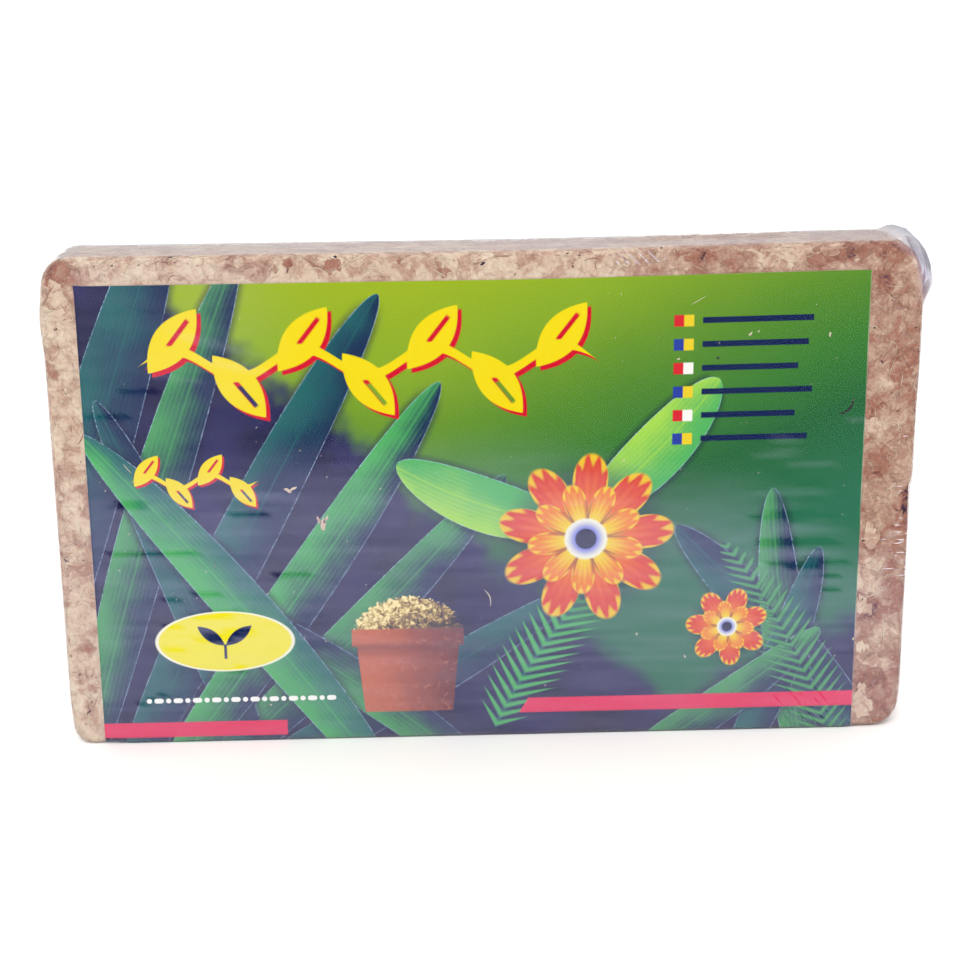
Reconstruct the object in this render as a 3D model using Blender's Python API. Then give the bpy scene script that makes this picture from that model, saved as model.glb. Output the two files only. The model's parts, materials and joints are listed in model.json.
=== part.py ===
"""A slab of pressed, dried sphagnum moss with a folded printed label, sealed in clear shrink film.

The pack stands upright on its long lower side. Metres, +Z up, +X along the length, and -Y is the front.
The origin is the middle of the lower side, on the surface that the pack stands on.
"""

import math

import bmesh
import bpy
from mathutils import Matrix, Vector, noise

# Driving dimensions of the pack, measured over the film
PACK_WIDTH = 0.2000
PACK_DEPTH = 0.0200
PACK_HEIGHT = 0.1183
EDGE_RADIUS = 0.0020
CORNER_TOP_LEFT = 0.0105
CORNER_TOP_RIGHT = 0.0070
CORNER_BOTTOM_LEFT = 0.0075
CORNER_BOTTOM_RIGHT = 0.0078
CORNER_CELLS = 2

# Layers from the outside in: film, gap, then moss, with the label let into the moss
FILM_THICKNESS = 0.0003
LAYER_GAP = 0.0003
LABEL_THICKNESS = 0.0003
LABEL_LEFT = -0.0925
LABEL_RIGHT = 0.0885
LABEL_TOP = 0.1125
FOLD_STEPS = 4

# The block's pressed surface, with one chip in its front right edge
BLOCK_INSET = FILM_THICKNESS + LAYER_GAP
RECESS_DEPTH = LABEL_THICKNESS + LAYER_GAP
RECESS_MARGIN = 0.0006
RELIEF_CELL = 0.0062
RELIEF_DEPTH = 0.00045
RELIEF_BROAD = 0.021
RELIEF_FLAKES = 0.009
FLAKE_LEDGES = 5
CHIP_CENTRE = Vector((0.0992, -0.0090, 0.0575))
CHIP_REACH = Vector((0.0040, 0.0050, 0.0075))
CHIP_DEPTH = 0.0016

# Where the film stands off the moss: the ear at one top corner, and the slack strip below it
EAR_SIDE_OUT = 0.0018
EAR_SIDE_BELOW_TOP = 0.0092
EAR_SIDE_REACH = 0.0052
EAR_TOP_OUT = 0.0015
EAR_TOP_BACK = 0.0030
EAR_TOP_FROM_END = 0.0082
EAR_TOP_REACH = 0.0042
EAR_ZONE = 0.0200
EAR_CELL = 0.0018
EAR_DEPTH_CELL = 0.0027
SLACK_OUT = 0.0006
SLACK_BOTTOM = 0.0755
SLACK_TOP = 0.1120
SLACK_FADE = 0.0060
FILM_CELL = 0.0120

# The welded seam that runs up one end of the film, along the top and down the other end
SEAM_OUT = 0.0004
SEAM_HALF_WIDTH = 0.0007
SEAM_BOTTOM = 0.0060
SEAM_FADE = 0.0040

# The hole in the back of the film that lets the air out as it shrinks
VENT_RADIUS = 0.0015
VENT_X = 0.0940
VENT_Z = 0.0260
VENT_SIDES = 20


def clear_scene():
    for item in list(bpy.data.objects):
        bpy.data.objects.remove(item, do_unlink=True)


def material(name, colour, roughness, metallic=0.0, alpha=1.0):
    made = bpy.data.materials.new(name)
    made.use_nodes = True
    shader = made.node_tree.nodes["Principled BSDF"]
    shader.inputs["Base Color"].default_value = (*colour, 1.0)
    shader.inputs["Roughness"].default_value = roughness
    shader.inputs["Metallic"].default_value = metallic
    shader.inputs["Alpha"].default_value = alpha
    made.diffuse_color = (*colour, alpha)
    return made


def add_object(name, mesh_data, finish):
    mesh = bpy.data.meshes.new(name)
    mesh_data.to_mesh(mesh)
    mesh_data.free()
    mesh.materials.append(finish)
    made = bpy.data.objects.new(name, mesh)
    bpy.context.scene.collection.objects.link(made)
    return made


def bump(distance, reach):
    """One at no distance, falling smoothly to nothing at the reach."""
    share = min(abs(distance) / reach, 1.0)
    return 0.5 + 0.5 * math.cos(math.pi * share)


def rise(value, start, end):
    """Nothing at the start, rising smoothly to one at the end."""
    share = min(max((value - start) / (end - start), 0.0), 1.0)
    return share * share * (3.0 - 2.0 * share)


def cell_lines(ends, step):
    """Places from one end to the next, each gap split evenly into cells of about this step."""
    lines = [ends[0]]
    for start, end in zip(ends, ends[1:]):
        count = max(round((end - start) / step), 1)
        lines += [start + (end - start) * i / count for i in range(1, count + 1)]
    return lines


def slab_corners(inset):
    """Each rounded corner of the slab's face: which way it points, where it is, and its radius."""
    side = PACK_WIDTH / 2 - inset
    low, high = inset, PACK_HEIGHT - inset
    return (
        (-1, 1, -side, high, CORNER_TOP_LEFT - inset),
        (1, 1, side, high, CORNER_TOP_RIGHT - inset),
        (-1, -1, -side, low, CORNER_BOTTOM_LEFT - inset),
        (1, -1, side, low, CORNER_BOTTOM_RIGHT - inset),
    )


def round_corner(x, z, inset):
    """Moves a point of the square-cornered slab to its place on the rounded one, with the way outwards there."""
    for right, up, corner_x, corner_z, radius in slab_corners(inset):
        u = right * (x - corner_x) / radius + 1.0
        v = up * (z - corner_z) / radius + 1.0
        if u > 0.0 and v > 0.0:
            angle = math.pi / 4 * (v / u if u >= v else 2.0 - u / v)
            out = Vector((right * math.cos(angle), up * math.sin(angle)))
            centre = Vector((corner_x - right * radius, corner_z - up * radius))
            return centre + out * max(u, v) * radius, out
    nearest = min(slab_corners(inset), key=lambda c: abs(x - c[2]) + abs(z - c[3]))
    at_side = abs(x - nearest[2]) < abs(z - nearest[3])
    out = Vector((nearest[0], 0.0)) if at_side else Vector((0.0, nearest[1]))
    return Vector((x, z)), out


def rounded_slab(inset, lines):
    """A closed standing slab that lies this far inside the pack's outer form, cut along these lines."""
    xs, ys, zs = lines
    last = [len(axis) - 1 for axis in lines]
    slab = bmesh.new()
    placed = {}

    def corner(i, j, k):
        if (i, j, k) not in placed:
            flat, out = round_corner(xs[i], zs[k], inset)
            y = ys[j]
            if j in (0, last[1]) and (i in (0, last[0]) or k in (0, last[2])):
                cut = (EDGE_RADIUS - inset) * (1.0 - math.cos(math.pi / 4))
                flat = flat - out * cut
                y -= math.copysign(cut, y)
            placed[i, j, k] = slab.verts.new((flat.x, y, flat.y))
        return placed[i, j, k]

    for i in range(last[0]):
        for k in range(last[2]):
            for j in (0, last[1]):
                slab.faces.new([corner(i, j, k), corner(i + 1, j, k), corner(i + 1, j, k + 1), corner(i, j, k + 1)])
    for j in range(last[1]):
        for k in range(last[2]):
            for i in (0, last[0]):
                slab.faces.new([corner(i, j, k), corner(i, j + 1, k), corner(i, j + 1, k + 1), corner(i, j, k + 1)])
        for i in range(last[0]):
            for k in (0, last[2]):
                slab.faces.new([corner(i, j, k), corner(i + 1, j, k), corner(i + 1, j + 1, k), corner(i, j + 1, k)])
    bmesh.ops.recalc_face_normals(slab, faces=slab.faces[:])
    return slab


def ends_with_corners(inset):
    """Where the rounded edges and corners begin, from each end of the slab, as lines across and lines up."""
    side = PACK_WIDTH / 2 - inset
    low, high = inset, PACK_HEIGHT - inset
    left = max(CORNER_TOP_LEFT, CORNER_BOTTOM_LEFT) - inset
    right = max(CORNER_TOP_RIGHT, CORNER_BOTTOM_RIGHT) - inset
    top = max(CORNER_TOP_LEFT, CORNER_TOP_RIGHT) - inset
    bottom = max(CORNER_BOTTOM_LEFT, CORNER_BOTTOM_RIGHT) - inset
    rim = EDGE_RADIUS - inset
    across = corner_lines(-side, rim, left, 1) + corner_lines(side, rim, right, -1)[::-1]
    upright = corner_lines(low, rim, bottom, 1) + corner_lines(high, rim, top, -1)[::-1]
    return across, upright


def corner_lines(end, rim, radius, inwards):
    """Lines at one end: the end itself, the start of its rounded rim, and the cells of its corner."""
    cells = [rim + (radius - rim) * i / CORNER_CELLS for i in range(CORNER_CELLS + 1)]
    return [end] + [end + inwards * cell for cell in cells]


def merge_lines(lines, more, least):
    """Adds lines to others, dropping those of the others that lie nearer than this, but never the two at each end."""
    kept = [line for line in lines[2:-2] if all(abs(line - other) >= least for other in more)]
    inner = sorted(kept + more)
    return lines[:2] + [line for line in inner if lines[1] < line < lines[-2]] + lines[-2:]


def under_label(point):
    """One where the label lies on the moss, falling to nothing just past its edges."""
    across = min(
        rise(point.x, LABEL_LEFT - RECESS_MARGIN, LABEL_LEFT),
        1.0 - rise(point.x, LABEL_RIGHT, LABEL_RIGHT + RECESS_MARGIN),
    )
    return min(across, 1.0 - rise(point.z, LABEL_TOP, LABEL_TOP + RECESS_MARGIN))


def pressed_relief(point):
    """How far the moss lies below its pressed face: broad hollows, with the torn ledges of its flakes."""
    broad = 0.5 + 0.5 * noise.noise(point / RELIEF_BROAD)
    flakes = 0.5 + 0.5 * noise.noise(point / RELIEF_FLAKES + Vector((7.3, 1.9, 4.1)))
    ledges = math.floor(flakes * FLAKE_LEDGES) / FLAKE_LEDGES
    return RELIEF_DEPTH * min(max(0.45 * broad + 0.75 * ledges - 0.15, 0.0), 1.0)


def chipped_edge(point):
    """How deep the chip in the front right edge is here."""
    away = Vector([(point[i] - CHIP_CENTRE[i]) / CHIP_REACH[i] for i in range(3)])
    return CHIP_DEPTH * bump(away.length, 1.0)


def faces_label(outwards):
    """True on the sides that the label lies against: the front, the lower side and the back."""
    return outwards.z < -0.5 or (abs(outwards.y) > 0.3 and outwards.z < 0.5)


def make_moss_block(finish):
    across, upright = ends_with_corners(BLOCK_INSET)
    label_sides = [LABEL_LEFT - RECESS_MARGIN, LABEL_LEFT, LABEL_RIGHT, LABEL_RIGHT + RECESS_MARGIN]
    label_ends = [LABEL_TOP, LABEL_TOP + RECESS_MARGIN]
    xs = merge_lines(cell_lines(across, RELIEF_CELL), label_sides, RECESS_MARGIN)
    zs = merge_lines(cell_lines(upright, RELIEF_CELL), label_ends, RECESS_MARGIN)
    depth = PACK_DEPTH / 2 - BLOCK_INSET
    rim = EDGE_RADIUS - BLOCK_INSET
    ys = cell_lines([-depth, -depth + rim, depth - rim, depth], RELIEF_CELL)
    block = rounded_slab(BLOCK_INSET, (xs, ys, zs))
    block.normal_update()
    moves = []
    for vert in block.verts:
        depth = pressed_relief(vert.co) + chipped_edge(vert.co)
        if faces_label(vert.normal):
            depth += RECESS_DEPTH * under_label(vert.co)
        moves.append(vert.normal * -depth)
    for vert, move in zip(block.verts, moves):
        vert.co += move
    return add_object("moss_block", block, finish)


def label_fold_line():
    """The label's outer line seen from the end: down the front, under the pack and up the back."""
    out = PACK_DEPTH / 2 - BLOCK_INSET
    radius = EDGE_RADIUS - BLOCK_INSET
    angles = [math.pi / 2 * i / FOLD_STEPS for i in range(FOLD_STEPS + 1)]
    front_fold = [
        Vector((0.0, -out + radius - radius * math.cos(angle), BLOCK_INSET + radius - radius * math.sin(angle)))
        for angle in angles
    ]
    back_fold = [Vector((0.0, -point.y, point.z)) for point in reversed(front_fold)]
    return [Vector((0.0, -out, LABEL_TOP)), *front_fold, *back_fold, Vector((0.0, out, LABEL_TOP))]


def make_label(finish):
    sheet = bmesh.new()
    line = [sheet.verts.new(point + Vector((LABEL_RIGHT, 0.0, 0.0))) for point in label_fold_line()]
    edges = [sheet.edges.new(pair) for pair in zip(line, line[1:])]
    widened = bmesh.ops.extrude_edge_only(sheet, edges=edges)["geom"]
    moved = [item for item in widened if isinstance(item, bmesh.types.BMVert)]
    bmesh.ops.translate(sheet, verts=moved, vec=(LABEL_LEFT - LABEL_RIGHT, 0.0, 0.0))
    bmesh.ops.recalc_face_normals(sheet, faces=sheet.faces[:])
    front = min(sheet.faces, key=lambda face: face.calc_center_median().y)
    if front.normal.y > 0:
        bmesh.ops.reverse_faces(sheet, faces=sheet.faces[:])
    label = add_object("label", sheet, finish)
    wall = label.modifiers.new("paper", "SOLIDIFY")
    wall.thickness = LABEL_THICKNESS
    wall.offset = -1.0
    wall.use_even_offset = True
    return label


def film_stand_off(point):
    """How far the film stands off the pack's plain form, sideways and upwards."""
    end = PACK_WIDTH / 2
    half = PACK_DEPTH / 2
    near_end = rise(point.x, end - EAR_SIDE_REACH, end - EDGE_RADIUS / 2)
    near_top = rise(point.z, PACK_HEIGHT - EAR_TOP_REACH, PACK_HEIGHT - EDGE_RADIUS / 2)
    slack = rise(point.z, SLACK_BOTTOM, SLACK_BOTTOM + SLACK_FADE) * (
        1.0 - rise(point.z, SLACK_TOP - 2 * SLACK_FADE, SLACK_TOP)
    )
    ear_side = bump(point.z - (PACK_HEIGHT - EAR_SIDE_BELOW_TOP), EAR_SIDE_REACH) * bump(point.y, half)
    ear_top = bump(point.x - (end - EAR_TOP_FROM_END), EAR_TOP_REACH) * bump(point.y - EAR_TOP_BACK, half)
    sideways = (EAR_SIDE_OUT * ear_side + SLACK_OUT * slack) * near_end
    return Vector((sideways, 0.0, EAR_TOP_OUT * ear_top * near_top))


def seam_ridge(point, outwards):
    """How far the seam stands out, along the middle of both ends and the top."""
    if abs(point.y) >= SEAM_HALF_WIDTH / 2 or outwards.z < -0.5:
        return 0.0
    return SEAM_OUT * rise(point.z, SEAM_BOTTOM, SEAM_BOTTOM + SEAM_FADE)


def make_vent_cutter():
    tool = bmesh.new()
    bmesh.ops.create_cone(
        tool,
        cap_ends=True,
        segments=VENT_SIDES,
        radius1=VENT_RADIUS,
        radius2=VENT_RADIUS,
        depth=6 * FILM_THICKNESS,
        matrix=Matrix.Rotation(math.pi / 2, 4, "X"),
    )
    mesh = bpy.data.meshes.new("vent_cutter")
    tool.to_mesh(mesh)
    tool.free()
    cutter = bpy.data.objects.new("vent_cutter", mesh)
    cutter.location = (VENT_X, PACK_DEPTH / 2, VENT_Z)
    cutter.display_type = "WIRE"
    cutter.hide_render = True
    bpy.context.scene.collection.objects.link(cutter)
    return cutter


def make_shrink_film(finish):
    across, upright = ends_with_corners(0.0)
    ear_start_x = PACK_WIDTH / 2 - EAR_ZONE
    ear_start_z = PACK_HEIGHT - EAR_ZONE
    plain_x = [x for x in across if x < ear_start_x] + [ear_start_x]
    plain_z = [z for z in upright if z < ear_start_z] + [ear_start_z]
    ear_x = cell_lines([ear_start_x, across[-2]], EAR_CELL)[1:] + [across[-1]]
    ear_z = cell_lines([ear_start_z, upright[-2]], EAR_CELL)[1:] + [upright[-1]]
    xs = cell_lines(plain_x, FILM_CELL) + ear_x
    zs = cell_lines(plain_z, FILM_CELL) + ear_z
    half = PACK_DEPTH / 2
    seam = [-SEAM_HALF_WIDTH, 0.0, SEAM_HALF_WIDTH]
    ys = cell_lines([-half, -half + EDGE_RADIUS, *seam, half - EDGE_RADIUS, half], EAR_DEPTH_CELL)
    film = rounded_slab(0.0, (xs, ys, zs))
    film.normal_update()
    moves = [film_stand_off(vert.co) + vert.normal * seam_ridge(vert.co, vert.normal) for vert in film.verts]
    for vert, move in zip(film.verts, moves):
        vert.co += move
    film_object = add_object("shrink_film", film, finish)
    wall = film_object.modifiers.new("film_wall", "SOLIDIFY")
    wall.thickness = FILM_THICKNESS
    wall.offset = -1.0
    wall.use_even_offset = True
    vent = film_object.modifiers.new("vent", "BOOLEAN")
    vent.operation = "DIFFERENCE"
    vent.object = make_vent_cutter()
    return film_object


def main():
    clear_scene()
    make_moss_block(material("pressed_moss", (0.52, 0.33, 0.22), 0.92))
    make_label(material("printed_label", (0.22, 0.42, 0.13), 0.45))
    make_shrink_film(material("clear_film", (0.93, 0.94, 0.97), 0.08, alpha=0.12))


main()
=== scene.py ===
"""The looks of a slab of pressed, dried moss with a folded printed label, sealed in clear shrink film.

Metres, +Z up, +X along the length, and -Y is the front. The printed label's own map is in millimetres.
"""

import json
import math

import bmesh
import bpy
import numpy as np
from mathutils import Matrix, Vector, noise

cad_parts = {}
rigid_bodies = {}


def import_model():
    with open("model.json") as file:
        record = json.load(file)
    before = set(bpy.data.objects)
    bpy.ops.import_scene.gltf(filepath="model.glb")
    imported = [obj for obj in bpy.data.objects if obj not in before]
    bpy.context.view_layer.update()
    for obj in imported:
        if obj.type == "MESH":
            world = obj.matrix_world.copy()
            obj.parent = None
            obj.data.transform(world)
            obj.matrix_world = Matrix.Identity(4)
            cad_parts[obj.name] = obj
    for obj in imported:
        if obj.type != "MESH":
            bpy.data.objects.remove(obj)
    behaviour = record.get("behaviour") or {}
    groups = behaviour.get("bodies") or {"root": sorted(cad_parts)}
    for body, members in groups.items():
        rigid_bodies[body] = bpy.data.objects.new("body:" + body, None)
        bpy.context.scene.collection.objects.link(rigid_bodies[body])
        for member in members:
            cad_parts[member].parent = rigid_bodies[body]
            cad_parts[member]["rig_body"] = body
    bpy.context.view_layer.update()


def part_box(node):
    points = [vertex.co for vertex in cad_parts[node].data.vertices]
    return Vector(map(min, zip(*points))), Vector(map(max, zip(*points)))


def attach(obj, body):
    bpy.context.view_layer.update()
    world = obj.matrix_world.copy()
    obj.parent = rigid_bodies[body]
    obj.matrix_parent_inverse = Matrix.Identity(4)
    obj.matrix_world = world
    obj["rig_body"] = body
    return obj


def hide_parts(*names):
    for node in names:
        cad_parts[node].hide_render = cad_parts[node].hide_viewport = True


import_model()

MM = 0.001

# The pack's plain outer form, as the solids have it
PACK_WIDTH = 200.0 * MM
PACK_DEPTH = 20.0 * MM
PACK_HEIGHT = 118.3 * MM
EDGE_RADIUS = 2.0 * MM
CORNER_TOP_LEFT = 10.5 * MM
CORNER_TOP_RIGHT = 7.0 * MM
CORNER_BOTTOM_LEFT = 7.5 * MM
CORNER_BOTTOM_RIGHT = 7.8 * MM

# Each rounded corner of the slab's face: which way it points, and its radius
SLAB_CORNERS = (
    (-1, 1, CORNER_TOP_LEFT),
    (1, 1, CORNER_TOP_RIGHT),
    (-1, -1, CORNER_BOTTOM_LEFT),
    (1, -1, CORNER_BOTTOM_RIGHT),
)

# The label's place comes from its solid
label_low, label_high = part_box("label")
LABEL_LEFT = label_low.x
LABEL_RIGHT = label_high.x
LABEL_TOP = label_high.z
LABEL_WIDE = (LABEL_RIGHT - LABEL_LEFT) / MM
LABEL_TALL = LABEL_TOP / MM

# Each layer's depth below the pack's outer form
FILM_WALL = 0.07 * MM
CRUMB_TOP = 0.125 * MM
LABEL_INSET = 0.20 * MM
LABEL_WALL = 0.14 * MM
FLAKE_TOP = 0.12 * MM
BODY_INSET = 0.30 * MM
UNDER_LABEL = 0.42 * MM

# Where the real pack departs from the plain form: fuller ends and corners, a right end that is
# a little taller, and a crisp fold along the foot
LEFT_BULGE = 0.55 * MM
SHOULDER_BULGE = 0.5 * MM
SHOULDER_HEIGHT = 103.0 * MM
SHOULDER_REACH = 9.0 * MM
RIGHT_BULGE = 0.45 * MM
STEP_BULGE = 0.45 * MM
STEP_HEIGHT = 61.2 * MM
TOP_BULGE = 0.3 * MM
TOP_LEFT_FILL = 1.7 * MM
BOTTOM_LEFT_FILL = 1.3 * MM
BOTTOM_RIGHT_FILL = 0.6 * MM
RIGHT_GROWTH = 0.009
FOOT_RADIUS = 0.6 * MM
FOLD_END = 86.0 * MM
LABEL_DROP = 0.62 * MM

# The camera, as fitted to the photograph's 970 x 971 frame
IMAGE_WIDTH = 970
CAMERA_TARGET = Vector((0.1, 0.0, 60.5)) * MM
CAMERA_DISTANCE = 457.0 * MM
CAMERA_AZIMUTH = math.radians(-1.71)
CAMERA_ELEVATION = math.radians(16.30)
CAMERA_ROLL = math.radians(-0.60)
CAMERA_FOCAL_PIXELS = 1910.0
SENSOR_WIDTH = 36.0

# Light: a soft key from over the camera, under a sky that is brighter overhead
SUN_AZIMUTH = math.radians(-7.0)
SUN_ELEVATION = math.radians(50.0)
SUN_STRENGTH = 1.45
SUN_ANGLE = math.radians(20.0)
SUN_COLOUR = (1.0, 0.985, 0.96)
SKY_STOPS = (
    (0.10, (0.62, 0.62, 0.65)),
    (0.45, (0.98, 0.96, 0.96)),
    (0.90, (1.1, 1.1, 1.1)),
)
FLOOR_SIDE = 20.0


def linear(red, green, blue):
    """A screen colour, from 0 to 255, as the light values that shaders take."""
    shares = [part / 255.0 for part in (red, green, blue)]
    return tuple(s / 12.92 if s <= 0.04045 else ((s + 0.055) / 1.055) ** 2.4 for s in shares)


# Stage


def deselect_all():
    for item in bpy.context.selected_objects:
        item.select_set(False)


def clear_startup():
    """Removes whatever the scene starts with, apart from the part's own bodies."""
    for item in [o for o in bpy.data.objects if "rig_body" not in o and not o.name.startswith("body:")]:
        bpy.data.objects.remove(item, do_unlink=True)


def cos_sin(degrees):
    return math.cos(math.radians(degrees)), math.sin(math.radians(degrees))


def way_to(azimuth, elevation):
    """The way from the pack to something at this azimuth from the front, and this elevation."""
    level = math.cos(elevation)
    return Vector((math.sin(azimuth) * level, -math.cos(azimuth) * level, math.sin(elevation)))


def add_camera():
    """The camera at the photograph's angle, turned about its target by azimuth, elevation and roll."""
    back = way_to(CAMERA_AZIMUTH, CAMERA_ELEVATION)
    right = (-back).cross(Vector((0.0, 0.0, 1.0))).normalized()
    upwards = right.cross(-back)
    turned_right = right * math.cos(CAMERA_ROLL) + upwards * math.sin(CAMERA_ROLL)
    turned_up = upwards * math.cos(CAMERA_ROLL) - right * math.sin(CAMERA_ROLL)
    lens = bpy.data.cameras.new("camera")
    lens.sensor_width = SENSOR_WIDTH
    lens.lens = CAMERA_FOCAL_PIXELS / IMAGE_WIDTH * SENSOR_WIDTH
    lens.clip_start = 0.01
    lens.clip_end = 100.0
    camera = bpy.data.objects.new("camera", lens)
    bpy.context.scene.collection.objects.link(camera)
    turn = Matrix((turned_right, turned_up, back)).transposed().to_4x4()
    camera.matrix_world = Matrix.Translation(CAMERA_TARGET + back * CAMERA_DISTANCE) @ turn
    bpy.context.scene.camera = camera


def add_sun():
    light = bpy.data.lights.new("key_light", "SUN")
    light.energy = SUN_STRENGTH
    light.angle = SUN_ANGLE
    light.color = SUN_COLOUR
    key = bpy.data.objects.new("key_light", light)
    key.visible_glossy = False
    bpy.context.scene.collection.objects.link(key)
    key.rotation_euler = way_to(SUN_AZIMUTH, SUN_ELEVATION).to_track_quat("Z", "Y").to_euler()


def add_sky():
    """A studio sky whose brightness rises from the horizon to straight overhead."""
    world = bpy.data.worlds.new("studio")
    bpy.context.scene.world = world
    world.use_nodes = True
    sky = Nodes(world.node_tree)
    height = sky.parts(sky.add("TexCoord", output="Generated"))[2]
    sky.fill(sky.tree.nodes["Background"].inputs["Color"], sky.ramp(height, SKY_STOPS))


def add_floor():
    """The white paper that the pack stands on."""
    bpy.ops.mesh.primitive_plane_add(size=FLOOR_SIDE)
    floor = bpy.context.object
    floor.name = "floor"
    look = Finish("floor_paper")
    look.surface((0.97, 0.97, 0.97), 0.9, 0.1)
    floor.data.materials.append(look.material)


# Material nodes


class Wire:
    """A socket in a finish. Sums on wires add Math nodes, and plain numbers may stand on either side."""

    def __init__(self, finish, socket):
        self.finish = finish
        self.socket = socket

    def sum(self, operation, *others):
        return self.finish.add("Math", {"operation": operation}, [self, *others])

    def __add__(self, other):
        return self.sum("ADD", other)

    __radd__ = __add__

    def __sub__(self, other):
        return self.sum("SUBTRACT", other)

    def __rsub__(self, other):
        return self.finish.add("Math", {"operation": "SUBTRACT"}, [other, self])

    def __mul__(self, other):
        return self.sum("MULTIPLY", other)

    __rmul__ = __mul__

    def __truediv__(self, other):
        return self.sum("DIVIDE", other)

    def __rtruediv__(self, other):
        return self.finish.add("Math", {"operation": "DIVIDE"}, [other, self])

    def __pow__(self, other):
        return self.sum("POWER", other)

    def __abs__(self):
        return self.sum("ABSOLUTE")

    def least(self, other):
        return self.sum("MINIMUM", other)

    def most(self, other):
        return self.sum("MAXIMUM", other)

    def rise(self, low, high):
        """Nothing at low, one at high, and a smooth change between. Low may be the greater of the two."""
        ends = {"From Min": low, "From Max": high, "To Min": 0.0, "To Max": 1.0}
        if low > high:
            ends = {"From Min": high, "From Max": low, "To Min": 1.0, "To Max": 0.0}
        return self.finish.add("MapRange", {"interpolation_type": "SMOOTHSTEP"}, {"Value": self, **ends})


class Nodes:
    """A tree of nodes, and the ways to add to it."""

    def __init__(self, tree):
        self.tree = tree

    def add(self, kind, settings=None, values=None, output=0):
        """A node of this kind. Its settings come before its sockets' values or links."""
        node = self.tree.nodes.new("ShaderNode" + kind)
        for name, value in (settings or {}).items():
            if name == "stops":
                self.set_stops(node.color_ramp, value)
            else:
                setattr(node, name, value)
        if not isinstance(values, dict):
            values = dict(enumerate(values or []))
        for name, value in values.items():
            self.fill(node.inputs[name], value)
        return Wire(self, node.outputs[output])

    def fill(self, socket, value):
        if isinstance(value, Wire):
            self.tree.links.new(value.socket, socket)
        elif hasattr(value, "__len__") and len(value) == 3 and len(socket.default_value) == 4:
            socket.default_value = (*value, 1.0)
        else:
            socket.default_value = value

    def set_stops(self, ramp, stops):
        while len(ramp.elements) < len(stops):
            ramp.elements.new(1.0)
        for element, (place, colour) in zip(ramp.elements, stops):
            element.position = place
            element.color = (*colour, 1.0)

    def mix(self, share, first, second):
        """Two colours mixed by a share from 0 to 1."""
        return self.add("Mix", {"data_type": "RGBA"}, {0: share, 6: first, 7: second}, output=2)

    def ramp(self, share, stops):
        return self.add("ValToRGB", {"stops": stops}, [share])

    def stretched(self, point, scale):
        """A vector with each of its parts scaled on its own."""
        return self.add("VectorMath", {"operation": "MULTIPLY"}, [point, scale])

    def parts(self, vector):
        node = self.add("SeparateXYZ", values=[vector]).socket.node
        return [Wire(self, socket) for socket in node.outputs]

    def grain(self, vector, scale, detail=2.0, roughness=0.5, distortion=0.0):
        """Smooth noise from 0 to 1."""
        values = {
            "Vector": vector,
            "Scale": scale,
            "Detail": detail,
            "Roughness": roughness,
            "Distortion": distortion,
        }
        return self.add("TexNoise", None, values)

    def attribute(self, name):
        """A number that the mesh keeps at each of its points."""
        return self.add("Attribute", {"attribute_name": name}, output="Fac")


class Finish(Nodes):
    """A material and its nodes."""

    def __init__(self, name):
        self.material = bpy.data.materials.new(name)
        self.material.use_nodes = True
        super().__init__(self.material.node_tree)
        self.principled = self.tree.nodes["Principled BSDF"]

    def shader(self, name, value):
        self.fill(self.principled.inputs[name], value)

    def surface(self, colour, roughness, specular=0.5):
        self.shader("Base Color", colour)
        self.shader("Roughness", roughness)
        self.shader("Specular IOR Level", specular)

    def place(self):
        """The point in object coordinates, in metres."""
        return self.add("TexCoord", output="Object")

    def bump(self, height, distance):
        values = {"Height": height, "Distance": distance, "Strength": 1.0}
        self.shader("Normal", self.add("Bump", None, values))


class Stamp(Nodes):
    """A node group that prints one motif over a colour. Every window of the print shares it."""

    def __init__(self, name, colours, numbers):
        super().__init__(bpy.data.node_groups.new(name, "ShaderNodeTree"))
        for colour in colours:
            self.tree.interface.new_socket(colour, in_out="INPUT", socket_type="NodeSocketColor")
        for number in numbers:
            self.tree.interface.new_socket(number, in_out="INPUT", socket_type="NodeSocketFloat")
        self.tree.interface.new_socket("Colour", in_out="OUTPUT", socket_type="NodeSocketColor")
        source = self.tree.nodes.new("NodeGroupInput")
        self.given = [Wire(self, socket) for socket in source.outputs[: len(colours) + len(numbers)]]

    def give(self, colour):
        target = self.tree.nodes.new("NodeGroupOutput")
        self.tree.links.new(colour.socket, target.inputs[0])
        return self.tree


# The slab's rounded form


def even_lines(ends, steps):
    """Lines from one end to the next, each gap split evenly into cells of about its own step."""
    lines = [ends[0]]
    for start, end, step in zip(ends, ends[1:], steps):
        count = max(round((end - start) / step), 1)
        lines += [start + (end - start) * i / count for i in range(1, count + 1)]
    return lines


def read_points(item):
    points = np.empty(len(item.data.vertices) * 3)
    item.data.vertices.foreach_get("co", points)
    return points.reshape(-1, 3)


def write_points(item, points):
    item.data.vertices.foreach_set("co", np.asarray(points, np.float32).ravel())
    item.data.update()


def cut_along(block, axis, cuts):
    """Cuts every edge of the block that runs along this axis into even lengths."""
    mesh = bmesh.from_edit_mesh(block.data)
    for edge in mesh.edges:
        way = edge.verts[1].co - edge.verts[0].co
        edge.select_set(abs(way[axis]) > MM / 100.0)
    bmesh.update_edit_mesh(block.data)
    bpy.ops.mesh.subdivide(number_cuts=cuts)
    bpy.ops.mesh.select_all(action="DESELECT")


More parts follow.
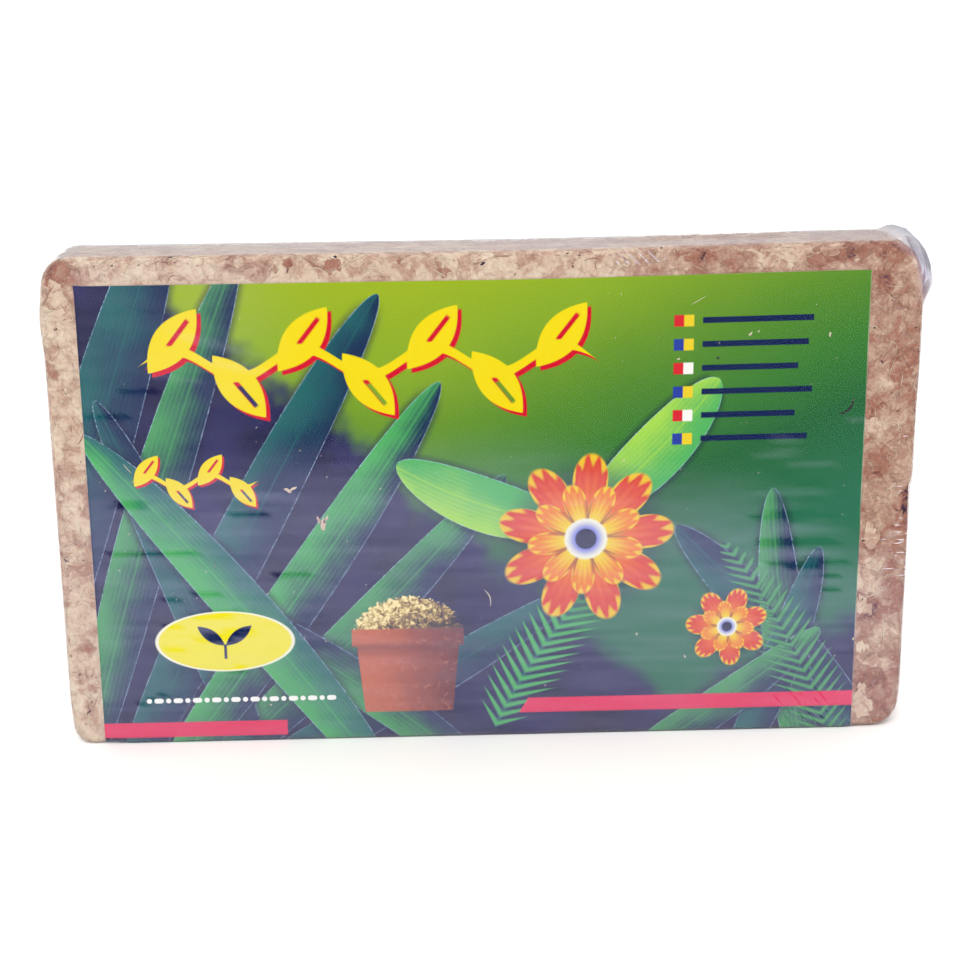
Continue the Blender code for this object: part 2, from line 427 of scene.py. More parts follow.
def add_block(name, lines):
    """A cube cut into cells, whose corners lie on these lines along X, Y and Z."""
    bpy.ops.mesh.primitive_cube_add(size=1.0)
    block = bpy.context.object
    block.name = name
    bpy.ops.object.mode_set(mode="EDIT")
    bpy.ops.mesh.select_mode(type="EDGE")
    bpy.ops.mesh.select_all(action="DESELECT")
    for axis, places in enumerate(lines):
        cut_along(block, axis, len(places) - 2)
    bpy.ops.object.mode_set(mode="OBJECT")
    points = read_points(block)
    for axis, places in enumerate(lines):
        cells = (points[:, axis] + 0.5) * (len(places) - 1)
        points[:, axis] = np.interp(cells, np.arange(len(places)), places)
    write_points(block, points)
    return block


def round_outline(x, z, inset):
    """Moves places on a square-cornered face to the rounded one, with the way out and the depth at each."""
    side = PACK_WIDTH / 2 - inset
    low, high = inset, PACK_HEIGHT - inset
    walls = np.stack([x + side, side - x, z - low, high - z], axis=1)
    inside = walls.min(axis=1)
    out = np.array([(-1.0, 0.0), (1.0, 0.0), (0.0, -1.0), (0.0, 1.0)])[walls.argmin(axis=1)]
    flat = np.stack([x, z], axis=1)
    for right, up, outer_radius in SLAB_CORNERS:
        radius = outer_radius - inset
        centre = np.array([right * (side - radius), (high if up > 0 else low) - up * radius])
        u = right * (x - centre[0]) / radius
        v = up * (z - centre[1]) / radius
        here = (u > 1e-9) & (v > 1e-9)
        wide, narrow = np.maximum(u, v)[here], np.minimum(u, v)[here]
        turn = math.pi / 4 * narrow / wide
        angle = np.where(u[here] >= v[here], turn, math.pi / 2 - turn)
        out[here] = np.stack([right * np.cos(angle), up * np.sin(angle)], axis=1)
        flat[here] = centre + out[here] * (wide * radius)[:, None]
        inside[here] = (1.0 - wide) * radius
    return flat, out, inside


def round_slab(points, inset):
    """Moves points on a square-cornered slab to the rounded one, and gives the way out at each."""
    x, y, z = points.T
    flat, out, inside = round_outline(x, z, inset)
    face = PACK_DEPTH / 2 - inset
    rim = EDGE_RADIUS - inset
    from_face = face - np.abs(y)
    on_face = from_face < MM / 1000.0
    past_middle = 0.5 + 0.5 * np.clip(inside / rim, 0.0, 1.0)
    before_middle = 0.5 - 0.5 * np.clip(from_face / rim, 0.0, 1.0)
    angle = np.where(on_face, past_middle, before_middle) * math.pi / 2
    near = (inside < rim) & (from_face < rim)
    shift = np.where(near, inside - rim * (1.0 - np.cos(angle)), 0.0)
    flat = flat + out * shift[:, None]
    y = np.where(near, np.sign(y) * (face - rim * (1.0 - np.sin(angle))), y)
    level = np.cos(angle)
    ways = np.stack([out[:, 0] * level, np.sign(y) * np.sin(angle), out[:, 1] * level], axis=1)
    return np.stack([flat[:, 0], y, flat[:, 1]], axis=1), ways


def slab_depth(points):
    """How far each point lies below the pack's outer form."""
    x, y, z = points.T
    middle = PACK_HEIGHT / 2
    right, upper = x > 0, z > middle
    radius = np.where(
        upper,
        np.where(right, CORNER_TOP_RIGHT, CORNER_TOP_LEFT),
        np.where(right, CORNER_BOTTOM_RIGHT, CORNER_BOTTOM_LEFT),
    )
    across = np.abs(x) - PACK_WIDTH / 2 + radius
    along = np.abs(z - middle) - PACK_HEIGHT / 2 + radius
    outline = np.minimum(np.maximum(across, along), 0.0) - radius
    outline += np.hypot(np.maximum(across, 0.0), np.maximum(along, 0.0))
    edge = outline + EDGE_RADIUS
    face = np.abs(y) - PACK_DEPTH / 2 + EDGE_RADIUS
    outer = np.minimum(np.maximum(edge, face), 0.0) + np.hypot(np.maximum(edge, 0.0), np.maximum(face, 0.0))
    return EDGE_RADIUS - outer


def slab_way_out(points):
    """The direction straight out of the slab at each point."""
    step = MM / 50.0
    slopes = []
    for axis in range(3):
        shift = np.zeros(3)
        shift[axis] = step
        slopes.append(slab_depth(points - shift) - slab_depth(points + shift))
    ways = np.stack(slopes, axis=1)
    return ways / np.maximum(np.linalg.norm(ways, axis=1), 1e-12)[:, None]


def lay_on_slab(points, depth):
    """Moves points straight in or out, until each lies at its depth below the outer form."""
    for _ in range(3):
        points = points + slab_way_out(points) * (slab_depth(points) - depth)[:, None]
    return points


def smooth_rise(value, start, end):
    share = np.clip((value - start) / (end - start), 0.0, 1.0)
    return share * share * (3.0 - 2.0 * share)


def smooth_bump(distance, reach):
    """One at no distance, falling smoothly to nothing at the reach."""
    return 0.5 + 0.5 * np.cos(math.pi * np.clip(np.abs(distance) / reach, 0.0, 1.0))


def grain_at(points, size, offset=0.0):
    """Smooth noise from about -1 to 1 at each point."""
    shift = Vector((offset, 2.0 * offset, -offset))
    return np.array([noise.noise(Vector(point) / size + shift) for point in points])


def under_label(points):
    """One where the label lies over a point, with a soft edge just outside it."""
    soft = 0.5 * MM
    across = smooth_rise(points[:, 0], LABEL_LEFT - soft, LABEL_LEFT)
    across *= 1.0 - smooth_rise(points[:, 0], LABEL_RIGHT, LABEL_RIGHT + soft)
    return across * (1.0 - smooth_rise(points[:, 2], LABEL_TOP, LABEL_TOP + soft))


def fill_corner(x, z, right, up, radius, fill):
    """Fills out one rounded corner of the pack's face."""
    u = np.maximum(right * x - PACK_WIDTH / 2 + radius, 0.0)
    v = np.maximum(up * (z - PACK_HEIGHT / 2) - PACK_HEIGHT / 2 + radius, 0.0)
    reach = np.maximum(np.hypot(u, v), 1e-9)
    amount = fill * (2 * u * v / reach**2) ** 2 * smooth_rise(reach, 0.3 * radius, radius)
    return x + right * amount * u / reach, z + up * amount * v / reach


def swell_ends(x, z):
    """Pushes the ends out between their corners: the left with a shoulder, and the right with a step."""
    clear_of_corners = smooth_rise(z, 2.0 * MM, 12.0 * MM) * (1.0 - smooth_rise(z, 106.0 * MM, 116.0 * MM))
    near_end = smooth_rise(np.abs(x), PACK_WIDTH / 2 - 5.0 * MM, PACK_WIDTH / 2 - 1.0 * MM)
    shoulder = SHOULDER_BULGE * smooth_bump(z - SHOULDER_HEIGHT, SHOULDER_REACH)
    step = STEP_BULGE * smooth_rise(z, STEP_HEIGHT, STEP_HEIGHT + 1.0 * MM)
    upper = TOP_BULGE * smooth_rise(z, 74.0 * MM, 94.0 * MM)
    bulge = np.where(x < 0, -LEFT_BULGE - shoulder, RIGHT_BULGE + step + upper)
    return x + bulge * near_end * clear_of_corners


def sharpen_foot(x, y, z):
    """Draws the slab's rounded lower edges out to a crisp fold, except near the ends."""
    across = (np.abs(y) - PACK_DEPTH / 2 + EDGE_RADIUS) / EDGE_RADIUS
    down = (EDGE_RADIUS - z) / EDGE_RADIUS
    reach = np.maximum(np.hypot(across, down), 1e-9)
    wide, narrow = np.maximum(across, down) / reach, np.minimum(across, down) / reach
    share = 1.0 - FOOT_RADIUS / EDGE_RADIUS
    bent = (wide + narrow) * share
    curved = bent + np.sqrt(np.maximum(bent**2 - 2 * share**2 + (1.0 - share) ** 2, 0.0))
    grown = np.where(narrow <= share * wide, 1.0 / wide, curved)
    folded = 1.0 - smooth_rise(np.abs(x), FOLD_END, FOLD_END + 6.0 * MM)
    grown = np.where((across > 0) & (down > 0), 1.0 + (grown - 1.0) * folded, 1.0)
    y = np.where(grown > 1.0, np.sign(y) * (PACK_DEPTH / 2 - EDGE_RADIUS + across * grown * EDGE_RADIUS), y)
    return y, np.where(grown > 1.0, EDGE_RADIUS - down * grown * EDGE_RADIUS, z)


def settle(points):
    """The pack's real shape: fuller ends and corners, a taller right end and a crisp foot."""
    x, y, z = points.T
    x = swell_ends(x, z)
    back = 0.5 + y / PACK_DEPTH
    x, z = fill_corner(x, z, -1, 1, CORNER_TOP_LEFT, TOP_LEFT_FILL * (1.0 + 0.1 * back))
    x, z = fill_corner(x, z, -1, -1, CORNER_BOTTOM_LEFT, BOTTOM_LEFT_FILL)
    x, z = fill_corner(x, z, 1, -1, CORNER_BOTTOM_RIGHT, BOTTOM_RIGHT_FILL)
    z = z * (1.0 + RIGHT_GROWTH * smooth_rise(x, 0.0, PACK_WIDTH / 2))
    y, z = sharpen_foot(x, y, z)
    return np.stack([x, y, z], axis=1)


def finish_piece(item, slot, *nodes):
    """The piece rides with the pack and stands for these nodes. Its slot is not used."""
    item.select_set(False)
    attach(item, "root")
    if nodes:
        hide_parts(*nodes)


def set_values(item, name, values):
    """A named number at each vertex."""
    made = item.data.attributes.new(name, "FLOAT", "POINT")
    made.data.foreach_set("value", np.asarray(values, np.float32))


# Shrink film

SEAM_OUT = 0.12 * MM
SEAM_HALF_WIDTH = 1.0 * MM
SEAM_BOTTOM = 6.0 * MM
SEAM_FADE = 4.0 * MM
VENT_PLACE = (94.0 * MM, 26.0 * MM)
VENT_RADIUS = 1.5 * MM
EAR_OUT = 2.7 * MM
EAR_BOTTOM = 102.8 * MM
EAR_RISE = 6.5 * MM

# How far the film's small waves, puckers and gathers lift it off the pack, or pull it in
PUCKER_RISE = 0.30 * MM
GATHER_RISE = 0.10 * MM
WAVE_FALL = 0.025 * MM
TIGHT_FALL = 0.02 * MM

# Long thin places on the front, in millimetres: the middle's X and Z, half length, half width, and slope
TIGHT_PLACES = (
    (-78.5, 48.2, 12.5, 1.15, -0.02),
    (-83.0, 60.2, 6.5, 1.08, 0.00),
    (-56.0, 57.5, 5.5, 1.01, 0.03),
    (-86.5, 81.8, 6.5, 0.94, 0.00),
    (-79.0, 87.5, 5.0, 1.01, -0.02),
    (-66.0, 37.9, 5.0, 0.88, 0.10),
    (-64.0, 32.6, 6.0, 1.22, 0.15),
    (-62.0, 27.3, 7.5, 1.62, 0.17),
    (-75.5, 36.3, 4.0, 0.61, 0.08),
    (-74.5, 29.7, 3.0, 0.74, 0.10),
    (-75.0, 24.0, 4.0, 0.81, 0.14),
    (-60.0, 18.7, 4.0, 0.88, 0.16),
    (-80.0, 11.7, 4.0, 0.81, 0.40),
    (-46.0, 42.5, 9.0, 0.68, 0.12),
    (72.8, 54.1, 12.6, 1.42, -0.02),
    (74.0, 47.6, 13.0, 1.55, -0.02),
    (76.8, 42.4, 11.6, 1.35, 0.02),
    (77.0, 62.0, 4.5, 0.47, 0.06),
    (69.0, 64.0, 5.0, 0.47, 0.06),
    (81.0, 38.6, 4.5, 0.61, 0.06),
    (80.0, 35.2, 4.0, 0.47, 0.12),
)
HAZY_PLACES = (
    (69.5, 72.8, 6.0, 1.10, -0.04),
    (68.5, 69.4, 8.0, 1.30, 0.04),
    (76.5, 66.6, 8.0, 1.20, 0.03),
    (72.0, 60.0, 13.0, 1.30, 0.01),
    (73.5, 50.9, 15.0, 1.40, -0.01),
    (78.0, 45.0, 11.0, 0.70, 0.02),
    (86.5, 77.0, 3.0, 1.20, -0.10),
    (-63.0, 98.5, 13.0, 1.70, -0.28),
    (-58.0, 93.0, 12.0, 1.30, -0.25),
    (-72.0, 90.5, 8.0, 0.90, -0.15),
    (-50.0, 61.5, 12.0, 1.30, -0.04),
    (-62.0, 53.0, 14.0, 1.60, 0.02),
    (-75.0, 40.5, 9.0, 1.20, 0.05),
)
PUCKERS = (
    (96.2, 74.3, 2.1, 0.34, -0.08),
    (95.8, 64.8, 1.5, 0.34, -0.12),
    (96.4, 62.6, 1.7, 0.34, -0.12),
    (94.8, 51.2, 2.1, 0.34, -0.10),
    (95.6, 49.4, 2.1, 0.34, -0.10),
    (94.6, 47.4, 2.5, 0.34, -0.06),
    (93.2, 40.4, 2.7, 0.34, -0.05),
    (95.0, 36.6, 3.2, 0.34, -0.06),
    (93.6, 44.2, 2.5, 0.34, -0.04),
    (94.4, 57.6, 1.7, 0.34, 0.10),
)


def nearness(points, place):
    """One at the middle of a long thin place, nothing at its outline, and less than nothing outside."""
    middle_x, middle_z, half_length, half_width, slope = place
    along = points[:, 0] / MM - middle_x
    across = points[:, 2] / MM - middle_z - slope * along
    return 1.0 - (along / half_length) ** 2 - np.abs(across) / half_width


def strongest(points, places):
    """How near each point is to the middle of the nearest of the places, from 0 to 1."""
    values = np.zeros(len(points))
    for place in places:
        values = np.maximum(values, nearness(points, place))
    return values


def film_lines():
    """Where the film is cut along X, Y and Z, the most finely where it creases."""
    half, deep = PACK_WIDTH / 2, PACK_DEPTH / 2
    rim = EDGE_RADIUS
    xs = even_lines(
        [-half, -half + rim, -0.90 * half, -0.40 * half, 0.52 * half, 0.90 * half, half - rim, half],
        [rim / 2, 1.6 * MM, 2.4 * MM, 6.0 * MM, 2.2 * MM, 0.9 * MM, rim / 2],
    )
    zs = even_lines([0.0, rim, PACK_HEIGHT - rim, PACK_HEIGHT], [rim / 2, 0.46 * MM, rim / 2])
    seam = SEAM_HALF_WIDTH
    ys = even_lines(
        [-deep, -deep + rim, -seam, 0.0, seam, deep - rim, deep],
        [rim / 2, 2.0 * MM, seam, seam, 2.0 * MM, rim / 2],
    )
    return xs, ys, zs


def loose_corner(points):
    """How far the loose film stands off round the top right corner, and which way."""
    centre_x, centre_z = PACK_WIDTH / 2 - CORNER_TOP_RIGHT, PACK_HEIGHT - CORNER_TOP_RIGHT
    right, up = points[:, 0] - centre_x, np.maximum(points[:, 2] - centre_z, 0.0)
    reach = np.hypot(right, up)
    angle = np.degrees(np.arctan2(up, np.maximum(right, 0.0)))
    along = smooth_rise(points[:, 2], EAR_BOTTOM, EAR_BOTTOM + EAR_RISE)
    along = along * (1.0 - smooth_rise(angle, 58.0, 88.0))
    outer = smooth_rise(reach, CORNER_TOP_RIGHT - 1.9 * MM, CORNER_TOP_RIGHT - 0.1 * MM) * (right > 0)
    amount = EAR_OUT * along * outer * (1.0 - 0.30 * (points[:, 1] / (PACK_DEPTH / 2)) ** 2)
    way = np.stack([right, np.zeros(len(right)), up], axis=1) / np.maximum(reach, 1e-9)[:, None]
    return amount, way


def seam_ridge(points, ways):
    """How far the seam stands out, up both ends and along the top."""
    height = SEAM_OUT * smooth_rise(points[:, 2], SEAM_BOTTOM, SEAM_BOTTOM + SEAM_FADE)
    return np.where((np.abs(points[:, 1]) < SEAM_HALF_WIDTH / 2) & (ways[:, 2] > -0.5), height, 0.0)


def front_reflection_strength(points):
    """How strongly the front mirrors: level streaks, painted reflection that grows towards the foot and at
    the left, and hardly any where it is tight.
    """
    x, _, z = points.T / MM
    lower = z + 10.0 * smooth_rise(x, 0.0, 60.0) + 16.0 * smooth_rise(x, 56.0, 90.0)
    low = 1.0 - smooth_rise(lower, 56.0, 80.0)
    left = 1.0 - smooth_rise(x, -64.0, -36.0)
    streaks = grain_at(points * np.array([0.10, 1.0, 1.0]), 1.7 * MM, 2.9)
    haze = (0.10 + 1.45 * np.maximum(low, 0.28 * left)) * (1.0 + 0.36 * streaks)
    haze = haze + 0.55 * smooth_rise(strongest(points, HAZY_PLACES), 0.0, 0.7)
    haze = haze * (1.0 - 0.97 * smooth_rise(strongest(points, TIGHT_PLACES), 0.0, 0.14))
    return haze * (1.0 - 0.5 * smooth_rise(x, 88.0, 89.5) - 0.65 * smooth_rise(-x, 92.0, 93.5))


def top_reflection_strength(points):
    """How strongly the top face mirrors: in patches, and less at the back of its right half."""
    x, y, _ = points.T / MM
    patches = 0.95 + 0.25 * grain_at(points * np.array([0.25, 1.0, 1.0]), 5.0 * MM, 6.6)
    thin = smooth_rise(x, 32.0, 44.0) * (1.0 - smooth_rise(x, 66.0, 78.0)) * smooth_rise(y, -3.0, 2.0)
    return patches - 0.45 * thin


def film_reflection_strength(points, ways, loose, puckers):
    """How strongly the film mirrors at each point: less where it clings, more where it stands off."""
    front = smooth_rise(-ways[:, 1], 0.3, 0.9)
    top = smooth_rise(ways[:, 2], 0.5, 0.95)
    haze = 1.0 + (front_reflection_strength(points) - 1.0) * front + (top_reflection_strength(points) - 1.0) * top
    # The loose ear and the puckers mirror more; on the puckers it is a painted glint
    return haze + 11.0 * np.clip(loose / EAR_OUT, 0.0, 1.0) + 0.8 * puckers * front


def film_rise(points, ways, puckers):
    """How far the film's seam, gathers, puckers and waves stand off the pack."""
    tight = smooth_rise(strongest(points, TIGHT_PLACES), 0.0, 0.5) * (ways[:, 1] < -0.5)
    waves = 0.5 + 0.5 * grain_at(points * np.array([0.3, 1.0, 1.0]), 5.0 * MM, 3.1)
    back_and_front = smooth_rise(np.abs(points[:, 1]), 6.5 * MM, 8.0 * MM)
    rim = back_and_front * smooth_rise(points[:, 2], 113.0 * MM, 116.0 * MM)
    gathers = 0.5 + 0.5 * grain_at(points, 3.4 * MM, 8.3)
    rise = PUCKER_RISE * puckers + GATHER_RISE * gathers * rim - WAVE_FALL * waves - TIGHT_FALL * tight
    return rise + seam_ridge(points, ways)


def thicken(item, wall, *, paper=None):
    """Gives a sheet its wall, towards the moss. The inner side and the rim may take another finish."""
    skin = item.modifiers.new("wall", "SOLIDIFY")
    skin.thickness = wall
    skin.offset = -1.0
    if paper is not None:
        skin.material_offset = paper
        skin.material_offset_rim = paper
    bpy.ops.object.modifier_apply(modifier=skin.name)


def make_film():
    """A thin closed skin round the pack, open only at its vent. Its points keep how each place looks."""
    film = add_block("film_wrap", film_lines())
    points, ways = round_slab(read_points(film), 0.0)
    loose, loose_way = loose_corner(points)
    puckers = np.clip(strongest(points, PUCKERS), 0.0, 1.0) * (ways[:, 1] < -0.3)
    rise = film_rise(points, ways, puckers)
    write_points(film, settle(points + ways * rise[:, None] + loose_way * loose[:, None]))
    set_values(film, "haze", film_reflection_strength(points, ways, loose, puckers))
    set_values(film, "front", smooth_rise(-ways[:, 1], 0.5, 0.95))
    set_values(film, "loose", np.clip(loose / EAR_OUT, 0.0, 1.0))
    cut_vent(film)
    thicken(film, FILM_WALL)
    film.data.shade_smooth()
    film.data.materials.append(clear_film_finish())
    film.visible_shadow = False
    film.visible_diffuse = False
    finish_piece(film, "clear_film", "shrink_film")


def cut_vent(film):
    """Opens the round vent in the back of the film."""
    bpy.ops.object.mode_set(mode="EDIT")
    bpy.ops.mesh.select_mode(type="FACE")
    bpy.ops.mesh.select_all(action="DESELECT")
    mesh = bmesh.from_edit_mesh(film.data)
    for face in mesh.faces:
        middle = face.calc_center_median()
        away = math.hypot(middle.x - VENT_PLACE[0], middle.z - VENT_PLACE[1])
        face.select_set(middle.y > PACK_DEPTH / 2 - MM and away < VENT_RADIUS)
    bmesh.update_edit_mesh(film.data)
    bpy.ops.mesh.delete(type="FACE")
    bpy.ops.mesh.select_mode(type="EDGE")
    bpy.ops.mesh.select_non_manifold()
    mesh = bmesh.from_edit_mesh(film.data)
    for vert in mesh.verts:
        if vert.select:
            way = Vector((vert.co.x - VENT_PLACE[0], vert.co.z - VENT_PLACE[1])).normalized() * VENT_RADIUS
            vert.co.x, vert.co.z = VENT_PLACE[0] + way.x, VENT_PLACE[1] + way.y
    bmesh.update_edit_mesh(film.data)
    bpy.ops.object.mode_set(mode="OBJECT")


# Where painted glints stand for the film's fine creases, in millimetres: the middle's X and Z, half width
# and half height
CREASED_PLACES = ((98.5, 46.5, 5.6, 9.5), (99.5, 61.5, 5.0, 2.6), (99.5, 74.5, 3.4, 1.6))
# Where painted glints stand for slanted pleats at the top, and where slanted taut lines near the foot
# mirror less
PLEATED_PLACE = (35.0, 116.4, 9.0, 1.7)
TAUT_PLACE = (76.0, 6.5, 10.0, 6.5)

# The painted colour of the film's reflection: violet where it faces the camera, warm elsewhere and on the
# painted glints, and grey in the loose ear
FILM_FRONT_REFLECTION = (0.70, 0.70, 1.0)
FILM_SIDE_REFLECTION = (0.95, 0.87, 0.85)
FILM_LOOSE_REFLECTION = (0.52, 0.53, 0.62)


def spot(across, up, place):
    """One inside an oval place on the front, with a soft edge."""
    middle_x, middle_z, half_width, half_height = place
    across = (across * (1.0 / MM) - middle_x) / half_width
    up = (up * (1.0 / MM) - middle_z) / half_height
    return (across * across + up * up).rise(1.0, 0.5)


def film_creases(look):
    """Fine lines in the film: painted glints, level at the right and slanted at the top, and slanted lines
    near the foot that mirror less.
    """
    point = look.place()
    x, _, z = look.parts(point)
    level = look.grain(look.stretched(point, (300.0, 300.0, 2600.0)), 1.0, 1.0, 0.5).rise(0.62, 0.70)
    creased = spot(x, z, CREASED_PLACES[0])
    for place in CREASED_PLACES[1:]:
        creased = creased.most(spot(x, z, place))
    wander = look.grain(point, 110.0, 1.0, 0.5) * 7.0
    slanted = (x * 2735.0 + z * 2476.0 + wander).sum("SINE").rise(0.74, 0.97)
    slanted = slanted * look.grain(point, 380.0, 1.0, 0.5).rise(0.44, 0.60)
    front = look.attribute("front")
    painted_glints = (level * creased).most(slanted * spot(x, z, PLEATED_PLACE) * 0.85) * front
    return painted_glints, slanted * spot(x, z, TAUT_PLACE) * front


def clear_film_finish():
    """See-through, with more gloss at a slant. How strongly each point mirrors, partly painted, says how
    much of it shows.
    """
    look = Finish("clear_film")
    painted_glints, taut = film_creases(look)
    facing = look.add("LayerWeight", None, {"Blend": 0.5}, output="Facing")
    gloss = 0.042 + 0.958 * facing**5.0
    # The metal film's base colour is painted reflection colour
    colour = look.mix(look.attribute("front") * (1.0 - painted_glints), FILM_SIDE_REFLECTION, FILM_FRONT_REFLECTION)
    look.shader("Base Color", look.mix(look.attribute("loose"), colour, FILM_LOOSE_REFLECTION))
    look.shader("Metallic", 1.0)
    look.shader("Roughness", 0.12)
    # The painted glints add to how strongly the film mirrors
    haze = look.attribute("haze") * (1.0 - taut * 0.9) + painted_glints * 14.0
    look.shader("Alpha", (gloss * haze).least(1.0))
    return look.material


# Printed label

FOLD_CELLS = 4
LABEL_CELL = 2.0 * MM
LABEL_RIPPLE = 0.02 * MM

# Where the print's back begins on the label's own map, in millimetres from the foot of the front
BACK_START = -14.0
BACK_END = -200.0


def label_path():
    """Stations along the label seen from the end: where each is, and the way out there."""
    face = PACK_DEPTH / 2 - LABEL_INSET
    radius = EDGE_RADIUS - LABEL_INSET
    stations = []
    rows = round((LABEL_TOP - LABEL_INSET - radius) / LABEL_CELL)
    for row in range(rows + 1):
        z = LABEL_TOP + (LABEL_INSET + radius - LABEL_TOP) * row / rows
        stations.append(((-face, z), (-1.0, 0.0)))
    for step in range(1, FOLD_CELLS + 1):
        angle = math.pi / 2 * step / FOLD_CELLS
        way = (-math.cos(angle), -math.sin(angle))
        stations.append(((-face + radius + radius * way[0], LABEL_INSET + radius + radius * way[1]), way))
    under = round(2 * (face - radius) / LABEL_CELL)
    for step in range(1, under + 1):
        stations.append(((-face + radius + 2 * (face - radius) * step / under, LABEL_INSET), (0.0, -1.0)))
    front = stations[: rows + FOLD_CELLS]
    return stations + [((-y, z), (-out_y, out_z)) for (y, z), (out_y, out_z) in reversed(front)]


def wrap_sheet(label, rows):
    """Lays the flat grid along the label's path. It keeps where each of its points is on the flat sheet."""
    stations = label_path()
    places = np.array([station[0] for station in stations])
    outs = np.array([station[1] for station in stations])
    grid = read_points(label)
    row = np.rint((0.5 - grid[:, 1]) * rows).astype(int)
    x = LABEL_LEFT + (grid[:, 0] + 0.5) * (LABEL_RIGHT - LABEL_LEFT)
    points = np.stack([x, places[row, 0], places[row, 1]], axis=1)
    ways = np.stack([np.zeros(len(x)), outs[row, 0], outs[row, 1]], axis=1)
    ripple = grain_at(points * np.array([0.5, 1.0, 1.0]), 14.0 * MM, 5.7)
    points = points + ways * (ripple * LABEL_RIPPLE)[:, None]
    points[:, 2] -= LABEL_DROP * points[:, 2] / LABEL_TOP
    write_points(label, settle(points))
    lengths = np.hypot(*np.diff(places, axis=0).T)
    travelled = np.concatenate([[0.0], np.cumsum(lengths)])
    write_map(label, "print", np.stack([(x - LABEL_LEFT) / MM, (LABEL_TOP - travelled[row]) / MM], axis=1))


def make_label():
    """A grid wrapped down the front, under the pack and up the back, slightly wavy, with a paper wall."""
    columns = round((LABEL_RIGHT - LABEL_LEFT) / LABEL_CELL)
    rows = len(label_path()) - 1
    bpy.ops.mesh.primitive_grid_add(x_subdivisions=columns, y_subdivisions=rows, size=1.0)
    label = bpy.context.object
    label.name = "label_sheet"
    wrap_sheet(label, rows)
    face_outwards(label)
    label.data.materials.clear()
    stamps = make_stamps()
    for window in print_windows():
        label.data.materials.append(print_finish(window, stamps))
    label.data.materials.append(cut_paper_finish())
    share_windows(label)
    thicken(label, LABEL_WALL, paper=len(label.data.materials))
    label.data.shade_smooth()
    sharpen_cut_edges(label)
    finish_piece(label, "printed_label", "label")


def sharpen_cut_edges(label):
    """Keeps the shading of the paper's faces apart from that of its cut edges."""
    cut = [face for face in label.data.polygons if face.material_index == len(label.data.materials) - 1]
    ends = {key for face in cut for key in face.edge_keys}
    for edge in label.data.edges:
        edge.use_edge_sharp = edge.key in ends


def face_outwards(label):
    """Turns the sheet's faces over if its front faces the moss."""
    front = min(label.data.polygons, key=lambda face: face.center.y)
    if front.normal.y > 0:
        bpy.ops.object.mode_set(mode="EDIT")
        bpy.ops.mesh.select_all(action="SELECT")
        bpy.ops.mesh.flip_normals()
        bpy.ops.object.mode_set(mode="OBJECT")


def write_map(item, name, places):
    """A UV map with these places, one for each vertex."""
    layer = item.data.uv_layers.new(name=name)
    corners = np.empty(len(item.data.loops), int)
    item.data.loops.foreach_get("vertex_index", corners)
    layer.data.foreach_set("uv", np.asarray(places, np.float32)[corners].ravel())


def print_windows():
    """The parts of the print: each has a finish that draws only what is seen in it. The back is one."""
    lefts = [LABEL_WIDE * i / 8 for i in range(9)]
    rows = [BACK_START, 22.0, 44.0, 66.0, 88.0, LABEL_TALL]
    windows = [(a, low, b, high) for low, high in zip(rows, rows[1:]) for a, b in zip(lefts, lefts[1:])]
    return [*windows, (0.0, BACK_END, LABEL_WIDE, BACK_START)]


def share_windows(label):
    """Each face of the sheet takes the finish of the window that its middle lies in."""
    windows = print_windows()
    places = np.empty(len(label.data.loops) * 2)
    label.data.uv_layers["print"].data.foreach_get("uv", places)
    places = places.reshape(-1, 2)
    for face in label.data.polygons:
        u, v = places[face.loop_start : face.loop_start + face.loop_total].mean(axis=0)
        for index, (left, low, right, high) in enumerate(windows):
            if left <= u <= right and low <= v <= high:
                face.material_index = index
                break


def cut_paper_finish():
    """The label's bare inner side and cut edges."""
    look = Finish("cut_paper")
    fibres = look.grain(look.place(), 900.0)
    look.surface(look.ramp(fibres, [(0.3, (0.62, 0.60, 0.52)), (0.7, (0.80, 0.78, 0.70))]), 0.8)
    return look.material


class Artwork:
    """The picture printed on the label: U and V in millimetres, and the colour as built up so far."""

    def __init__(self, look, window, stamps):
        self.look = look
        self.window = window
        self.stamps = stamps
        self.point = look.add("UVMap", {"uv_map": "print"})
        self.u, self.v, _ = look.parts(self.point)
        self.speckle = look.grain(self.point, 2.3, 1.0, 0.6)
        self.cloud = look.grain(self.point, 0.055, 3.0, 0.55)
        self.colour = None

    def sees(self, points, reach):
        """Whether any of the points comes within reach of the window."""
        left, low, right, high = self.window
        reach = reach + LABEL_CELL / MM + 0.5
        return any(left - reach < u < right + reach and low - reach < v < high + reach for u, v in points)

    def paint(self, mask, colour):
        self.colour = self.look.mix(mask, self.colour, colour)

    def stamp(self, name, colours, root, degrees, sizes):
        """Prints a motif at its root, turned by this many degrees."""
        shared = [self.u, self.v, self.speckle, self.cloud, *root, *cos_sin(degrees)]
        values = [self.colour, *colours, *shared, *sizes]
        self.colour = self.look.add("Group", {"node_tree": self.stamps[name]}, values)


def turned(u, v, cos, sin):
    """Distances along and across a direction, given by its cosine and sine."""
    return u * cos + v * sin, v * cos - u * sin


def new_stamp(name, colours, sizes):
    """A stamp with the inputs that all of them share, and its wires: colours, noises, place and sizes."""
    shared = ("U", "V", "Speckle", "Cloud", "Root U", "Root V", "Cosine", "Sine")
    stamp = Stamp(name, ("Under", *colours), (*shared, *sizes))
    count = 1 + len(colours)
    u, v, speckle, cloud, root_u, root_v, cos, sin = stamp.given[count : count + len(shared)]
    place = turned(u - root_u, v - root_v, cos, sin)
    return stamp, stamp.given[:count], (speckle, cloud), place, stamp.given[count + len(shared) :]


def arc_points(root, degrees, length, bend):
    """Points along a bent stem, for finding which windows it crosses."""
    cos, sin = cos_sin(degrees)
    points = []
    for share in np.linspace(0.0, 1.0, 31):
        along, across = length * share, bend * share**2
        points.append((root[0] + along * cos - across * sin, root[1] + along * sin + across * cos))
    return points


